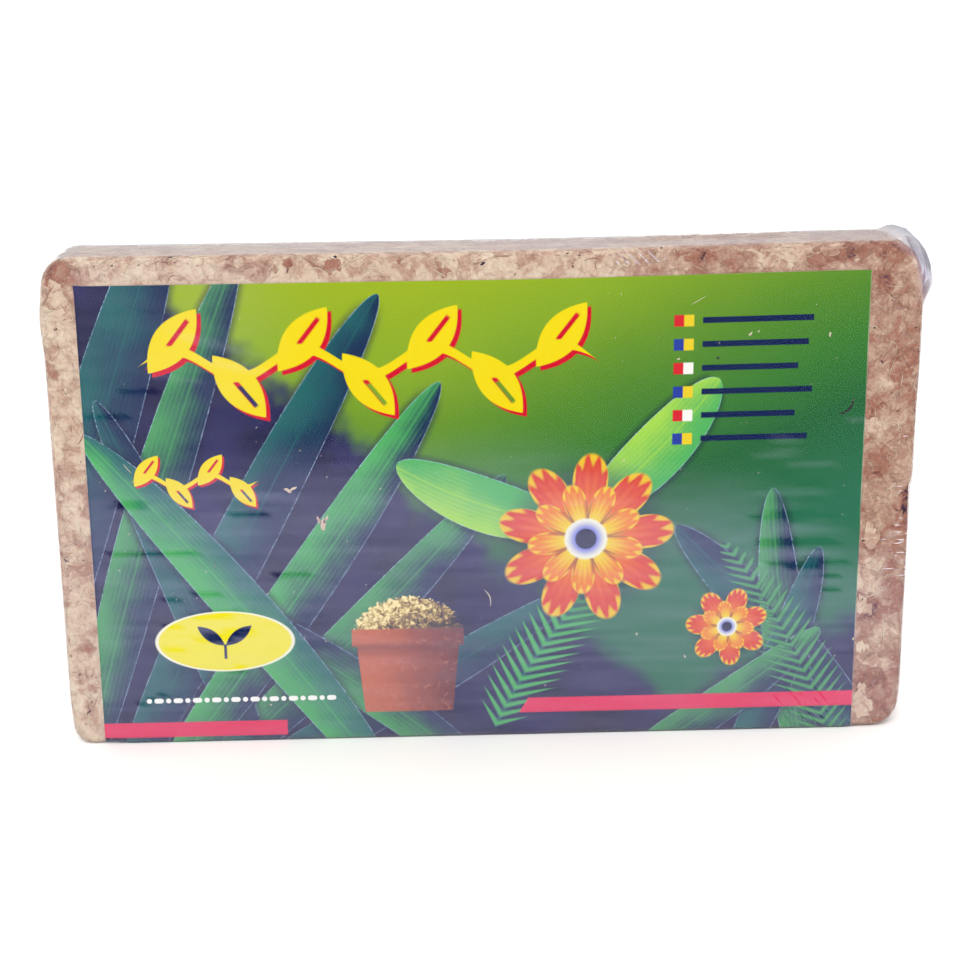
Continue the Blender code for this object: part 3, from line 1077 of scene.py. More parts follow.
# The print's colours
SHADE_NAVY = linear(30, 28, 76)
SHADE_DEEP = linear(14, 16, 52)
LEAF_TEAL = linear(28, 92, 92)
LEAF_NIGHT = linear(18, 36, 72)
LEAF_GREEN = linear(66, 142, 82)
LEAF_FRESH = linear(70, 160, 84)
LEAF_LIME = linear(150, 196, 70)
EDGE_BLUE = linear(160, 184, 212)
YELLOW = linear(218, 197, 2)
SHADOW_RED = linear(190, 8, 34)
BAND_RED = linear(206, 34, 76)
ORANGE = linear(214, 108, 20)
FLAME = linear(196, 50, 24)
CREAM = linear(222, 220, 200)
CLAY = linear(176, 92, 60)
CLAY_DARK = linear(96, 44, 40)
INK = linear(12, 28, 70)


def paint_meadow(art):
    """A lime glow that turns to green and to teal, down and to the right."""
    away = (art.u - 76.0).most(0.0) * 0.0044 + (110.0 - art.v) * 0.0107 + (art.cloud - 0.5) * 0.05
    art.colour = art.look.ramp(away, [
        (0.0, linear(139, 162, 22)),
        (0.19, linear(121, 153, 30)),
        (0.36, linear(91, 133, 34)),
        (0.47, linear(72, 122, 38)),
        (0.60, linear(52, 111, 43)),
        (0.75, linear(34, 92, 50)),
        (1.0, linear(36, 100, 72)),
    ])


# The edge of the deep shade, in millimetres: it falls from the left, runs level, and climbs at the right
SHADE_LEFT = 126.0
SHADE_FALL = 0.86
SHADE_LEVEL = 5.0
SHADE_TURN = 128.0
SHADE_CLIMB = 22.0 / 53.0


def shade_top(u):
    """The height of the deep shade's edge at a place along the label."""
    return max(SHADE_LEFT - SHADE_FALL * u, SHADE_LEVEL + SHADE_CLIMB * max(u - SHADE_TURN, 0.0))


def paint_undergrowth(art):
    """Deep shade at the left and along the foot of the picture."""
    across = [LABEL_WIDE * i / 16 for i in range(17)]
    if not art.sees([(u, shade_top(u) * i / 8) for u in across for i in range(9)], 10.0):
        return
    fall = SHADE_LEFT - SHADE_FALL * art.u
    top = fall.most(SHADE_LEVEL + (art.u - SHADE_TURN).most(0.0) * SHADE_CLIMB)
    edge = top + (art.cloud - 0.5) * 30.0
    shade = art.look.mix(art.cloud.rise(0.38, 0.62), SHADE_DEEP, SHADE_NAVY)
    art.paint((edge - art.v).rise(-5.0, 6.0), shade)


def blade_stamp():
    """A strap leaf: a long arch with fine lengthwise veins and rough pale edges, over a soft shadow."""
    names = ("Length", "Half Width", "Bend")
    look, colours, noises, place, sizes = new_stamp("strap_leaf", ("Lit", "Dark"), names)
    under, lit, dark = colours
    speckle, cloud = noises
    along, across = place
    length, width, bend = sizes
    share = (along / length).most(0.0).least(1.0)
    across = across - bend * share * share
    half = width * (4.0 * share * (1.0 - share)) ** 0.5
    gap = half - abs(across)
    veins = (across * 6.1).sum("SINE") + (across * 17.0 + cloud * 5.0).sum("SINE") * 0.6
    tone = across / (half + 0.01) * 0.42 + veins * 0.07 + (cloud - 0.5) * 1.3 + (speckle - 0.5) * 0.4
    body = look.mix((tone + 0.44).rise(0.0, 1.0), dark, lit)
    body = look.mix(abs(across).rise(0.34, 0.10) * 0.5, body, lit)
    teeth = (gap + (speckle - 0.5) * 0.5).rise(0.42, 0.22) * speckle.rise(0.44, 0.56)
    body = look.mix(teeth * 0.85, body, EDGE_BLUE)
    shadow = gap.rise(-1.8, 0.1) * share.rise(1.0, 0.94) * 0.55
    under = look.mix(shadow, under, SHADE_DEEP)
    return look.give(look.mix((gap + (speckle - 0.5) * 0.4).rise(0.08, 0.22), under, body))


def fern_stamp():
    """A fern frond: a bent stem with a row of pointed leaflets on each side, shorter towards the tip."""
    names = ("Length", "Half Width", "Bend", "Pitch")
    look, colours, noises, place, sizes = new_stamp("fern", ("Lit", "Dark"), names)
    under, lit, dark = colours
    along, across = place
    length, width, bend, pitch = sizes
    share = (along / length).most(0.0).least(1.0)
    across = across - bend * share * share
    reach = abs(across)
    wide = width * (4.0 * share * (1.0 - share)) ** 0.5 * (1.12 - 0.5 * share) + 0.01
    row = (along - 0.75 * reach) / pitch
    part = abs(row.sum("FRACT") - 0.5)
    thin = 0.44 * (1.0 - reach / wide)
    leaflet = (thin - part).rise(-0.02, 0.06) * (wide - reach).rise(0.05, 0.3)
    stem = reach.rise(0.42, 0.22) * share.rise(0.0, 0.01) * share.rise(1.0, 0.99)
    body = look.mix((part * 2.2 + (noises[0] - 0.5) * 0.5).rise(0.1, 0.9), lit, dark)
    return look.give(look.mix(leaflet.most(stem), under, body))


def bloom_stamp():
    """A flower seen face on: two rings of petals round a pale heart with a dark eye."""
    look, colours, noises, place, sizes = new_stamp("bloom", (), ("Radius", "Petals"))
    colour = colours[0]
    speckle = noises[0]
    du, dv = place
    radius, petals = sizes
    away = (du * du + dv * dv) ** 0.5 / radius
    angle = dv.sum("ARCTAN2", du)
    colour = look.mix(away.rise(1.05, 0.6) * 0.6, colour, SHADE_DEEP)
    for reach, offset, outer, inner in ((1.0, 0.0, FLAME, ORANGE), (0.66, 0.5, ORANGE, YELLOW)):
        wave = abs((angle * (petals * 0.5) + offset * math.pi).sum("COSINE"))
        share = away / (reach * (0.42 + 0.58 * wave**0.55))
        veins = (angle * 46.0 + speckle * 2.0).sum("SINE") * 0.07
        petal = look.mix((share + veins + (speckle - 0.5) * 0.16).rise(0.25, 0.95), inner, outer)
        petal = look.mix(wave.rise(0.55, 0.10) * 0.65, petal, CLAY_DARK)
        petal = look.mix((share + veins).rise(0.88, 0.99) * 0.75, petal, YELLOW)
        colour = look.mix(share.rise(1.02, 0.97), colour, petal)
    heart = look.mix(away.rise(0.11, 0.24), linear(110, 120, 200), CREAM)
    colour = look.mix((away + (speckle - 0.5) * 0.03).rise(0.255, 0.225), colour, heart)
    return look.give(look.mix(away.rise(0.13, 0.11), colour, SHADE_DEEP))


def leaf_row(u, v, pitch, count, size, wave):
    """The mask of a garland: a wavy stem with a plump leaf at each bend, up and down in turn."""
    place = u / pitch
    index = place.most(0.0).least(count - 0.01).sum("FLOOR")
    sign = 1.0 - 4.0 * (index * 0.5).sum("FRACT")
    du = u - (index + 0.5) * pitch
    dv = v - sign * wave * 1.7
    cos, sin = cos_sin(52.0)
    along = (du * cos + sign * dv * sin) / size
    across = abs(dv * cos - sign * du * sin) / (size * 0.46)
    leaf = (1.0 - along * along - across).rise(0.0, 0.07)
    slit = across.rise(0.17, 0.09) * abs(along - 0.24).rise(0.44, 0.36)
    thick = size * 0.13 * place.rise(-0.1, 0.5) * (count - place).rise(-0.1, 0.5)
    stem = (thick - abs(v - (place * math.pi).sum("SINE") * wave)).rise(-0.02, 0.14)
    return (leaf * (1.0 - slit)).most(stem)


def garland_stamp():
    """Yellow leaves on a wavy stem, over a red copy that is shifted down and to the right."""
    look, colours, _, place, sizes = new_stamp("garland", (), ("Pitch", "Count", "Size", "Wave"))
    u, v = place
    shift = sizes[2] * 0.1
    colour = look.mix(leaf_row(u - shift, v + shift, *sizes), colours[0], SHADOW_RED)
    return look.give(look.mix(leaf_row(u, v, *sizes), colour, YELLOW))


def make_stamps():
    makers = {"blade": blade_stamp, "fern": fern_stamp, "bloom": bloom_stamp, "garland": garland_stamp}
    return {name: make() for name, make in makers.items()}


def paint_blade(art, root, degrees, sizes, lit, dark, motif="blade"):
    """A bent leaf from its root. Its sizes are its length, half width and bend, and a fern's pitch."""
    length, width, bend = sizes[:3]
    if art.sees(arc_points(root, degrees, length, bend), width + 1.0):
        art.stamp(motif, (lit, dark), root, degrees, sizes)


def paint_fern(art, root, degrees, sizes, lit, dark):
    paint_blade(art, root, degrees, sizes, lit, dark, "fern")


def paint_bloom(art, middle, radius, petals, degrees):
    if art.sees([middle], radius * 1.05):
        art.stamp("bloom", (), middle, degrees, (radius, petals))


def paint_garland(art, start, pitch, count, size, wave):
    middles = [(start[0] + pitch * (i + 0.5), start[1]) for i in range(count)]
    if art.sees(middles, size + wave * 1.7):
        art.stamp("garland", (), start, 0.0, (pitch, count, size, wave))


def box_mask(u, v, left, low, right, high, soft=0.12):
    """One inside an upright rectangle."""
    across = abs(u - (left + right) / 2).rise((right - left) / 2 + soft, (right - left) / 2 - soft)
    return across * abs(v - (low + high) / 2).rise((high - low) / 2 + soft, (high - low) / 2 - soft)


def paint_swatches(art, left, top, rows, pitch):
    """A column of small two-colour swatches, each with a plain ink rule beside it."""
    points = [(left + step * 6.0, top - pitch * (row + 0.5)) for row in range(rows) for step in range(8)]
    if not art.sees(points, pitch):
        return
    look = art.look
    down = (top - art.v) / pitch
    inside = down.rise(0.0, 0.02) * down.rise(rows, rows - 0.02)
    index = down.sum("FLOOR")
    local = (down.sum("FRACT") - 0.5) * pitch
    chance = ((index * 12.9898 + 3.1).sum("SINE") * 43.7).sum("FRACT")
    parity = (index * 0.5).sum("FRACT") * 2.0
    first = look.mix(parity, linear(194, 32, 42), linear(34, 56, 144))
    second = look.mix(chance.rise(0.5, 0.51), linear(222, 220, 214), linear(212, 186, 36))
    halves = look.mix((art.u - (left + 2.3)).rise(-0.1, 0.1), first, second)
    art.paint(box_mask(art.u, local, left, -1.35, left + 4.6, 1.35) * inside, halves)
    start, end = left + 6.6, left + 24.0 + 10.0 * chance
    rule = abs(local).rise(0.80, 0.60) * (art.u - start).rise(-0.1, 0.1) * (end - art.u).rise(-0.1, 0.1)
    art.paint(rule * inside, INK)


def paint_oval(art, middle, wide, tall):
    """A yellow oval with a pale rim and a small two-leaved sprout on it."""
    if not art.sees([(middle[0] + step * wide / 2, middle[1]) for step in (-2, -1, 0, 1, 2)], tall + 1.0):
        return
    du, dv = (art.u - middle[0]) / wide, (art.v - middle[1]) / tall
    away = (du * du + dv * dv) ** 0.5
    art.paint(away.rise(1.05, 1.02), CREAM)
    art.paint(away.rise(1.0, 0.975), linear(218, 207, 24))
    for degrees in (38.0, 142.0):
        along, across = turned(art.u - middle[0], art.v - (middle[1] - tall * 0.15), *cos_sin(degrees))
        share = (along / (wide * 0.52)).most(0.0).least(1.0)
        art.paint((6.0 * share * (1.0 - share) - abs(across)).rise(0.0, 0.15), INK)
    low, high = middle[1] - tall * 0.6, middle[1] - tall * 0.1
    art.paint(box_mask(art.u, art.v, middle[0] - 0.35, low, middle[0] + 0.35, high), INK)


def paint_pot(art, left, low, wide, tall):
    """A clay pot with a rim, full of moss."""
    middle = left + wide / 2
    if not art.sees([(middle, low), (middle, low + tall / 2), (middle, low + tall)], wide / 2 + 4.0):
        return
    look = art.look
    across = (art.u - middle) / (wide / 2)
    up = (art.v - low) / tall
    tufts = look.grain(art.point, 0.85, 4.0, 0.6, 0.8)
    tone = across * 0.6 + 0.5 + (art.cloud - 0.5) * 0.6 + (tufts - 0.5) * 0.5
    clay = look.mix(tone.rise(0.0, 1.1), CLAY, CLAY_DARK)
    worn = tufts + (up * 26.0).sum("SINE") * 0.03
    clay = look.mix(worn.rise(0.54, 0.66) * 0.4, clay, linear(206, 132, 98))
    light = (tufts - 0.5) * 3.2 + 0.5 + (up - 1.05) * 1.2 - across * 0.4
    moss = look.ramp(light, [
        (0.0, linear(40, 34, 24)),
        (0.4, linear(112, 84, 48)),
        (0.7, linear(178, 152, 84)),
        (1.0, linear(226, 210, 150)),
    ])
    mound = (up - 0.92) / 0.42
    dome = 1.0 - across * across * 1.15 - mound * mound + (tufts - 0.5) * 0.9
    art.paint(dome.rise(-0.03, 0.04), moss)
    body = (0.78 + 0.16 * up - abs(across)).rise(-0.012, 0.012) * up.rise(-0.01, 0.01) * up.rise(0.85, 0.84)
    art.paint(body, look.mix(up.rise(0.60, 0.78) * 0.6, clay, CLAY_DARK))
    rim = abs(across).rise(1.0, 0.98) * up.rise(0.76, 0.78) * up.rise(0.98, 0.96)
    art.paint(rim, look.mix(up.rise(0.84, 0.77) * 0.5, clay, CLAY_DARK))


def paint_band(art, start, end, low, high):
    """A plain band with a slanted start."""
    if not art.sees([(start + step * (end - start) / 12, low) for step in range(13)], 8.0):
        return
    slant = (art.u - start - (art.v - low) * 0.6).rise(-0.15, 0.15) * art.u.rise(end + 0.15, end - 0.15)
    art.paint(slant * art.v.rise(low - 0.12, low + 0.12) * art.v.rise(high + 0.12, high - 0.12), BAND_RED)


def paint_dots(art, start, pitch, count, size):
    """A row of small white dots, long and short in turn."""
    if not art.sees([(start[0] + pitch * i, start[1]) for i in range(count)], pitch):
        return
    across = (art.u - start[0]) / pitch
    inside = across.rise(0.0, 0.01) * across.rise(count, count - 0.01)
    odd = (across.sum("FLOOR") * 0.5).sum("FRACT") * 2.0
    du = (abs((across.sum("FRACT") - 0.5) * pitch) - odd * pitch * 0.22).most(0.0)
    dv = art.v - start[1]
    dot = (du * du + dv * dv).rise(size * size * 1.2, size * size * 0.8)
    art.paint(dot * inside, linear(226, 226, 222))


# Strap leaves on the front, the farthest first: the root, its direction in degrees, the leaf's
# length, half width and bend, and the lit and the shaded colour
BLADES = (
    ((192.0, -14.0), 124.0, (86.0, 6.5, 8.0), LEAF_TEAL, LEAF_NIGHT),
    ((172.0, -16.0), 104.0, (78.0, 5.5, -7.0), LEAF_GREEN, LEAF_NIGHT),
    ((150.0, -14.0), 64.0, (64.0, 5.0, 7.0), LEAF_TEAL, LEAF_NIGHT),
    ((-16.0, 10.0), 76.0, (130.0, 8.5, -8.0), LEAF_TEAL, LEAF_NIGHT),
    ((22.0, -16.0), 27.0, (108.0, 5.5, 6.0), LEAF_TEAL, LEAF_NIGHT),
    ((-6.0, -12.0), 76.0, (138.0, 6.5, -10.0), LEAF_GREEN, LEAF_NIGHT),
    ((14.0, -18.0), 41.0, (118.0, 6.0, 9.0), LEAF_GREEN, LEAF_NIGHT),
    ((2.0, -16.0), 65.0, (142.0, 7.0, -7.0), LEAF_TEAL, LEAF_NIGHT),
    ((40.0, -18.0), 106.0, (110.0, 5.5, 7.0), LEAF_TEAL, LEAF_NIGHT),
    ((8.0, -18.0), 53.0, (130.0, 6.5, 5.0), LEAF_FRESH, LEAF_NIGHT),
    ((98.0, -16.0), 137.0, (92.0, 5.5, 10.0), LEAF_GREEN, LEAF_NIGHT),
    ((72.0, -18.0), 123.0, (120.0, 6.5, 9.0), LEAF_FRESH, LEAF_TEAL),
    ((118.0, -12.0), 28.0, (66.0, 5.0, 8.0), LEAF_GREEN, LEAF_NIGHT),
)


def paint_front(art):
    """The front: a meadow, leaves, flowers and a pot of moss, with plain marks and bands over them."""
    paint_meadow(art)
    paint_undergrowth(art)
    for blade in BLADES:
        paint_blade(art, *blade)
    paint_fern(art, (94.0, 2.0), 66.0, (60.0, 10.0, -14.0, 2.6), LEAF_FRESH, LEAF_TEAL)
    paint_fern(art, (176.0, -4.0), 106.0, (58.0, 10.0, 12.0, 2.4), LEAF_GREEN, LEAF_NIGHT)
    paint_blade(art, (112.0, 54.0), 172.0, (42.0, 7.0, -9.0), LEAF_LIME, LEAF_FRESH)
    paint_blade(art, (116.0, 56.0), 38.0, (44.0, 7.0, 6.0), LEAF_LIME, LEAF_FRESH)
    paint_bloom(art, (116.0, 50.0), 21.0, 9.0, 6.0)
    paint_bloom(art, (150.0, 27.0), 10.0, 7.0, 20.0)
    paint_pot(art, 60.0, 7.0, 27.0, 22.0)
    paint_oval(art, (30.0, 26.0), 16.0, 7.4)
    paint_garland(art, (14.0, 94.0), 14.8, 7, 9.6, 3.2)
    paint_garland(art, (10.0, 66.0), 7.4, 4, 4.8, 1.6)
    paint_swatches(art, 136.0, 104.7, 6, 5.6)
    paint_dots(art, (10.0, 11.0), 2.3, 20, 0.62)
    paint_band(art, 100.0, 190.0, 6.0, 9.8)
    paint_band(art, -9.0, 44.0, 1.6, 5.4)
    paint_cut_edge(art)


def paint_back(art):
    """The back: the same greens, deep shade at the foot, two fronds and a blank pale panel."""
    look = art.look
    up = (-20.0 - art.v) / LABEL_TALL
    art.colour = look.ramp(up + (art.cloud - 0.5) * 0.3, [
        (0.0, SHADE_DEEP), (0.25, LEAF_NIGHT), (0.6, linear(44, 120, 78)), (1.0, linear(116, 164, 44)),
    ])
    paint_fern(art, (18.0, -34.0), -64.0, (74.0, 11.0, 12.0, 2.8), LEAF_FRESH, LEAF_TEAL)
    paint_fern(art, (166.0, -30.0), -118.0, (74.0, 11.0, -12.0, 2.8), LEAF_GREEN, LEAF_TEAL)
    art.paint(box_mask(art.u, art.v, 44.0, -112.0, 140.0, -48.0), LEAF_TEAL)
    art.paint(box_mask(art.u, art.v, 45.2, -110.8, 138.8, -49.2), CREAM)


def paint_cut_edge(art):
    """The thin white line where the printed paper was cut at the right."""
    if art.sees([(LABEL_WIDE, LABEL_TALL * i / 16) for i in range(17)], 4.0):
        edge = art.u.rise(LABEL_WIDE - 0.22, LABEL_WIDE - 0.12)
        art.paint(edge * art.cloud.rise(0.35, 0.65) * 0.35, CREAM)


def print_finish(window, stamps):
    """The printed paper in one window of the picture."""
    look = Finish("label_print")
    art = Artwork(look, window, stamps)
    if window[3] <= BACK_START:
        paint_back(art)
    else:
        paint_front(art)
    look.surface(art.colour, 0.42, 0.05)
    return look.material


# Moss

# The moss's colours from dark to pale; the two darkest are painted shade for the hollow of the chip.
# Some of the steps between them are short, so that the patches have ragged edges
MOSS_TONES = (
    (0.0, linear(44, 30, 44)),
    (0.05, linear(76, 50, 66)),
    (0.10, linear(118, 76, 70)),
    (0.22, linear(144, 97, 80)),
    (0.33, linear(153, 108, 91)),
    (0.35, linear(156, 118, 102)),
    (0.45, linear(160, 126, 110)),
    (0.47, linear(171, 139, 120)),
    (0.57, linear(177, 147, 129)),
    (0.59, linear(189, 163, 143)),
    (0.80, linear(204, 186, 165)),
)
MOSS_DARK = linear(84, 62, 66)
MOSS_PALE = linear(226, 212, 190)

# The chip in the block's front right edge
CHIP_CENTRE = np.array([99.2, -9.0, 57.5]) * MM
CHIP_REACH = np.array([4.0, 5.0, 7.5]) * MM
CHIP_DEPTH = 0.25 * MM

# Patches of the bare moss that are plainly paler or redder, and one of painted shade in the chip, in
# millimetres:
# the middle's X and Z, half width, half height, and the change of tone
MOSS_PATCHES = (
    (-94.5, 113.5, 3.6, 2.6, -0.42),
    (-95.5, 108.5, 3.4, 2.2, -0.26),
    (-97.5, 101.5, 3.2, 5.0, 0.12),
    (-98.2, 93.0, 1.2, 2.4, -0.40),
    (-95.0, 57.0, 3.0, 4.6, 0.20),
    (-94.0, 47.0, 4.4, 5.0, -0.10),
    (-93.5, 20.0, 3.4, 3.6, -0.06),
    (-84.0, 115.2, 6.5, 3.0, 0.06),
    (-66.0, 115.0, 6.0, 3.0, 0.10),
    (-50.5, 115.2, 3.6, 2.6, -0.36),
    (47.0, 116.2, 3.8, 1.6, -0.42),
    (54.5, 115.8, 4.0, 1.8, -0.34),
    (68.5, 115.2, 4.4, 2.6, 0.22),
    (82.0, 116.4, 2.8, 2.8, -0.40),
    (93.0, 116.0, 4.4, 2.4, -0.42),
    (91.5, 110.5, 3.0, 3.6, -0.30),
    (97.0, 90.0, 2.6, 8.0, -0.22),
    (90.6, 79.0, 2.4, 3.2, -0.30),
    (91.0, 75.0, 3.2, 3.0, 0.30),
    (92.0, 66.5, 3.6, 3.8, -0.34),
    (93.5, 46.0, 3.6, 4.0, -0.30),
    (91.0, 38.5, 4.4, 5.4, 0.42),
    (90.5, 31.0, 3.6, 3.4, -0.16),
    (95.0, 25.0, 3.4, 5.0, 0.26),
    (92.5, 11.0, 3.6, 5.4, -0.36),
    (89.6, 6.0, 2.4, 4.0, 0.16),
    # The last is painted shade in the hollow of the chip
    (99.6, 56.6, 1.8, 5.2, -1.10),
)


def chip_depth(points):
    """How deep the chip in the front right edge is at each point."""
    return CHIP_DEPTH * smooth_bump(np.linalg.norm((points - CHIP_CENTRE) / CHIP_REACH, axis=1), 1.0)


def overall_tone(points):
    """The slow change of tone over the pack: darker and redder to the right, partly painted shade for light
    that falls off that way, and paler low at the left, painted light that lifts the shade by the foot.
    """
    x, _, z = points.T / MM
    # Painted shade towards the right, with the moss's redder tone there
    tone = 0.60 - 0.17 * smooth_rise(x, 0.0, 90.0)
    tone -= 0.06 * smooth_rise(x, 80.0, 90.0) * (1.0 - smooth_rise(z, 46.0, 60.0))
    # Painted light low at the left, near the foot
    return tone + 0.17 * (1.0 - smooth_rise(x, -90.0, -78.0)) * (1.0 - smooth_rise(z, 4.0, 40.0))


def moss_tone(points):
    """How pale the moss is at each place, from 0, dark rust, to 1, cream, with painted shade to the right
    and in the chip and painted light low at the left.
    """
    warp = np.stack([grain_at(points, 3.0 * MM, 21.0 + 7.0 * axis) for axis in range(3)], axis=1)
    warped = points + warp * 1.4 * MM
    tone = overall_tone(points) + 0.13 * grain_at(warped, 9.0 * MM, 11.0)
    front = 1.0 - smooth_rise(points[:, 1], -9.2 * MM, -7.0 * MM)
    for x, z, half_width, half_height, change in MOSS_PATCHES:
        away = np.hypot((warped[:, 0] / MM - x) / half_width, (warped[:, 2] / MM - z) / half_height)
        tone += 0.55 * change * (1.0 - smooth_rise(away, 0.75, 1.15)) * front
    return np.clip(tone, 0.06, 1.0)


def body_lines():
    """Where the block is cut along X, Y and Z, the most finely where the label leaves it bare."""
    half, deep = PACK_WIDTH / 2 - BODY_INSET, PACK_DEPTH / 2 - BODY_INSET
    low, high = BODY_INSET, PACK_HEIGHT - BODY_INSET
    rim = EDGE_RADIUS - BODY_INSET
    xs = even_lines(
        [-half, -half + rim, LABEL_LEFT, LABEL_RIGHT, half - rim, half],
        [rim / 3, 0.55 * MM, 1.6 * MM, 0.55 * MM, rim / 3],
    )
    ys = even_lines([-deep, -deep + rim, deep - rim, deep], [rim / 3, 1.0 * MM, rim / 3])
    zs = even_lines([low, low + rim, LABEL_TOP, high - rim, high], [rim / 3, 0.85 * MM, 0.55 * MM, rim / 3])
    return xs, ys, zs


def tucked_under(points, out):
    """One where a point of the moss lies under the label."""
    return under_label(points) * ((np.abs(out[:, 1]) > 0.3) | (out[:, 2] < -0.5))


def make_moss_body():
    """The pressed block, finely divided, with shallow pits and a dip under the label."""
    body = add_block("moss_body", body_lines())
    points, ways = round_slab(read_points(body), BODY_INSET)
    torn = grain_at(points, 2.6 * MM, 7.9)
    fine = grain_at(points, 1.2 * MM, 4.2)
    down = 0.04 * MM * (0.5 + 0.5 * torn) + 0.02 * MM * (0.5 + 0.5 * fine)
    down = down + chip_depth(points) + tucked_under(points, ways) * (UNDER_LABEL - BODY_INSET)
    set_values(body, "tone", moss_tone(points))
    write_points(body, settle(points - ways * down[:, None]))
    body.data.shade_smooth()
    body.data.materials.append(moss_finish("moss_mat"))
    finish_piece(body, "pressed_moss", "moss_block")


def moss_finish(name, streaks=None):
    """Dry moss: ragged patches from rust to cream round its own tone, with fine streaks and dark specks."""
    look = Finish(name)
    point = look.place()
    patches = look.grain(point, 190.0, 4.0, 0.55, 1.1)
    fine = look.grain(point, 1500.0, 2.0, 0.6)
    tone = look.attribute("tone") + (patches - 0.5) * 1.0 + (fine - 0.5) * 0.10
    height = patches + fine * 0.4
    shine = fine
    if streaks:
        along = look.stretched(look.add("UVMap", {"uv_map": "grain"}), (*streaks, 1.0))
        lines = look.grain(along, 1.0, 2.0, 0.6, 0.3)
        tone = tone + (lines - 0.5) * 0.10
        height = height + lines * 0.5
        shine = (fine + lines) * 0.5
    colour = look.ramp(tone, MOSS_TONES)
    colour = look.mix(shine.rise(0.52, 0.30) * 0.12, colour, MOSS_DARK)
    colour = look.mix(shine.rise(0.50, 0.75) * 0.25, colour, MOSS_PALE)
    colour = look.mix(fine.rise(0.25, 0.20) * 0.5, colour, MOSS_DARK)
    look.surface(colour, 0.9, 0.2)
    look.bump(height, 0.06 * MM)
    return look.material


def moss_places(chances, count, margin):
    """Points spread over all of the moss that the label leaves bare."""
    half, deep = PACK_WIDTH / 2, PACK_DEPTH / 2
    face, end_face, rim_face = PACK_WIDTH * PACK_HEIGHT, PACK_DEPTH * PACK_HEIGHT, PACK_DEPTH * PACK_WIDTH
    areas = np.array([face, face, end_face, end_face, rim_face, rim_face])
    found = []
    while len(found) < count:
        side = chances.choice(6, p=areas / areas.sum())
        point = chances.uniform((-half, -deep, 0.0), (half, deep, PACK_HEIGHT))
        axis, end = ((1, -deep), (1, deep), (0, -half), (0, half), (2, PACK_HEIGHT), (2, 0.0))[side]
        point[axis] = end
        over = LABEL_LEFT + margin < point[0] < LABEL_RIGHT - margin and point[2] < LABEL_TOP - margin
        if not (over and side in (0, 1, 5)):
            found.append(point)
    return lay_on_slab(np.array(found), np.full(count, BODY_INSET))


def frames_at(points, chances):
    """At each point two directions along the surface, turned at random."""
    out = slab_way_out(points)
    along = np.cross(out, chances.normal(size=points.shape))
    along /= np.linalg.norm(along, axis=1)[:, None]
    return along, np.cross(out, along)


def front_frame(degrees):
    """Directions along and across something on the front that is turned by this many degrees."""
    cos, sin = cos_sin(degrees)
    return (cos, 0.0, sin), (-sin, 0.0, cos)


def template(adder):
    """The points and faces of one primitive, which is then removed."""
    adder()
    item = bpy.context.object
    points = read_points(item)
    # Extrude lists its new faces in another order in each run, so they are sorted
    faces = sorted(tuple(face.vertices) for face in item.data.polygons)
    bpy.data.objects.remove(item, do_unlink=True)
    return points, faces


def join_copies(name, copies, faces):
    """One mesh from many copies of a shape, each given as its own points."""
    count, size = copies.shape[:2]
    sides = np.array([len(face) for face in faces])
    flat = np.concatenate([np.array(face) for face in faces])
    mesh = bpy.data.meshes.new(name)
    mesh.vertices.add(count * size)
    mesh.vertices.foreach_set("co", copies.astype(np.float32).ravel())
    corners = (flat[None, :] + np.arange(count)[:, None] * size).ravel()
    totals = np.tile(sides, count)
    mesh.loops.add(len(corners))
    mesh.loops.foreach_set("vertex_index", corners.astype(np.int32))
    mesh.polygons.add(len(totals))
    mesh.polygons.foreach_set("loop_start", np.concatenate([[0], np.cumsum(totals)[:-1]]).astype(np.int32))
    mesh.update(calc_edges=True)
    mesh.validate()
    item = bpy.data.objects.new(name, mesh)
    bpy.context.scene.collection.objects.link(item)
    return item


def lay_moss(name, points, depth, faces):
    """Lays copies on the slab at these depths, lower under the label and in the chip, as one mesh."""
    flat, below = points.reshape(-1, 3), depth.reshape(-1)
    out = slab_way_out(flat)
    below = below + tucked_under(flat, out) * (UNDER_LABEL - FLAKE_TOP) + chip_depth(flat)
    return join_copies(name, settle(lay_on_slab(flat, below)).reshape(points.shape), faces)


def spread(centres, a, b, along, across):
    """Each copy's points, at these distances along and across from its centre."""
    return centres[:, None, :] + a[..., None] * along[:, None, :] + b[..., None] * across[:, None, :]


def front_place(x, z):
    """A place on the front of the moss, given in millimetres."""
    return x * MM, -PACK_DEPTH / 2 + BODY_INSET, z * MM


def finish_moss(item, tones, look):
    """Gives each copy its tone, and all of them one finish."""
    set_values(item, "tone", np.repeat(tones, len(item.data.vertices) // len(tones)))
    item.data.materials.append(look)
    finish_piece(item, "pressed_moss")


def bake_cells(count, shape):
    """A map that gives each copy a cell of its own. The shape is one copy's own map, from 0 to 1."""
    side = math.ceil(math.sqrt(count))
    cell = np.stack([np.arange(count) % side, np.arange(count) // side], axis=1)
    return ((cell[:, None, :] + 0.06 + 0.88 * shape[None, :, :]) / side).reshape(-1, 2)


# How many small pieces there are of each kind, and the seeds that place them
FLAKES = 3000
STRANDS = 2400
SPECKS = 700
DUST = 150
FLAKE_SEED = 11
STRAND_SEED = 23
SPECK_SEED = 37
CRUMB_SEED = 53

FLAKE_SIDES = 13
FLAKE_WALLS = (0.015 * MM, 0.03 * MM)

# The least and the greatest depth of the middle of each kind of piece below the pack's outer form
FLAKE_DEPTHS = (BODY_INSET - 0.08 * MM, BODY_INSET)
STRAND_DEPTHS = (BODY_INSET - 0.13 * MM, BODY_INSET - 0.05 * MM)
SPECK_DEPTHS = (FLAKE_TOP + 0.08 * MM, BODY_INSET - 0.05 * MM)


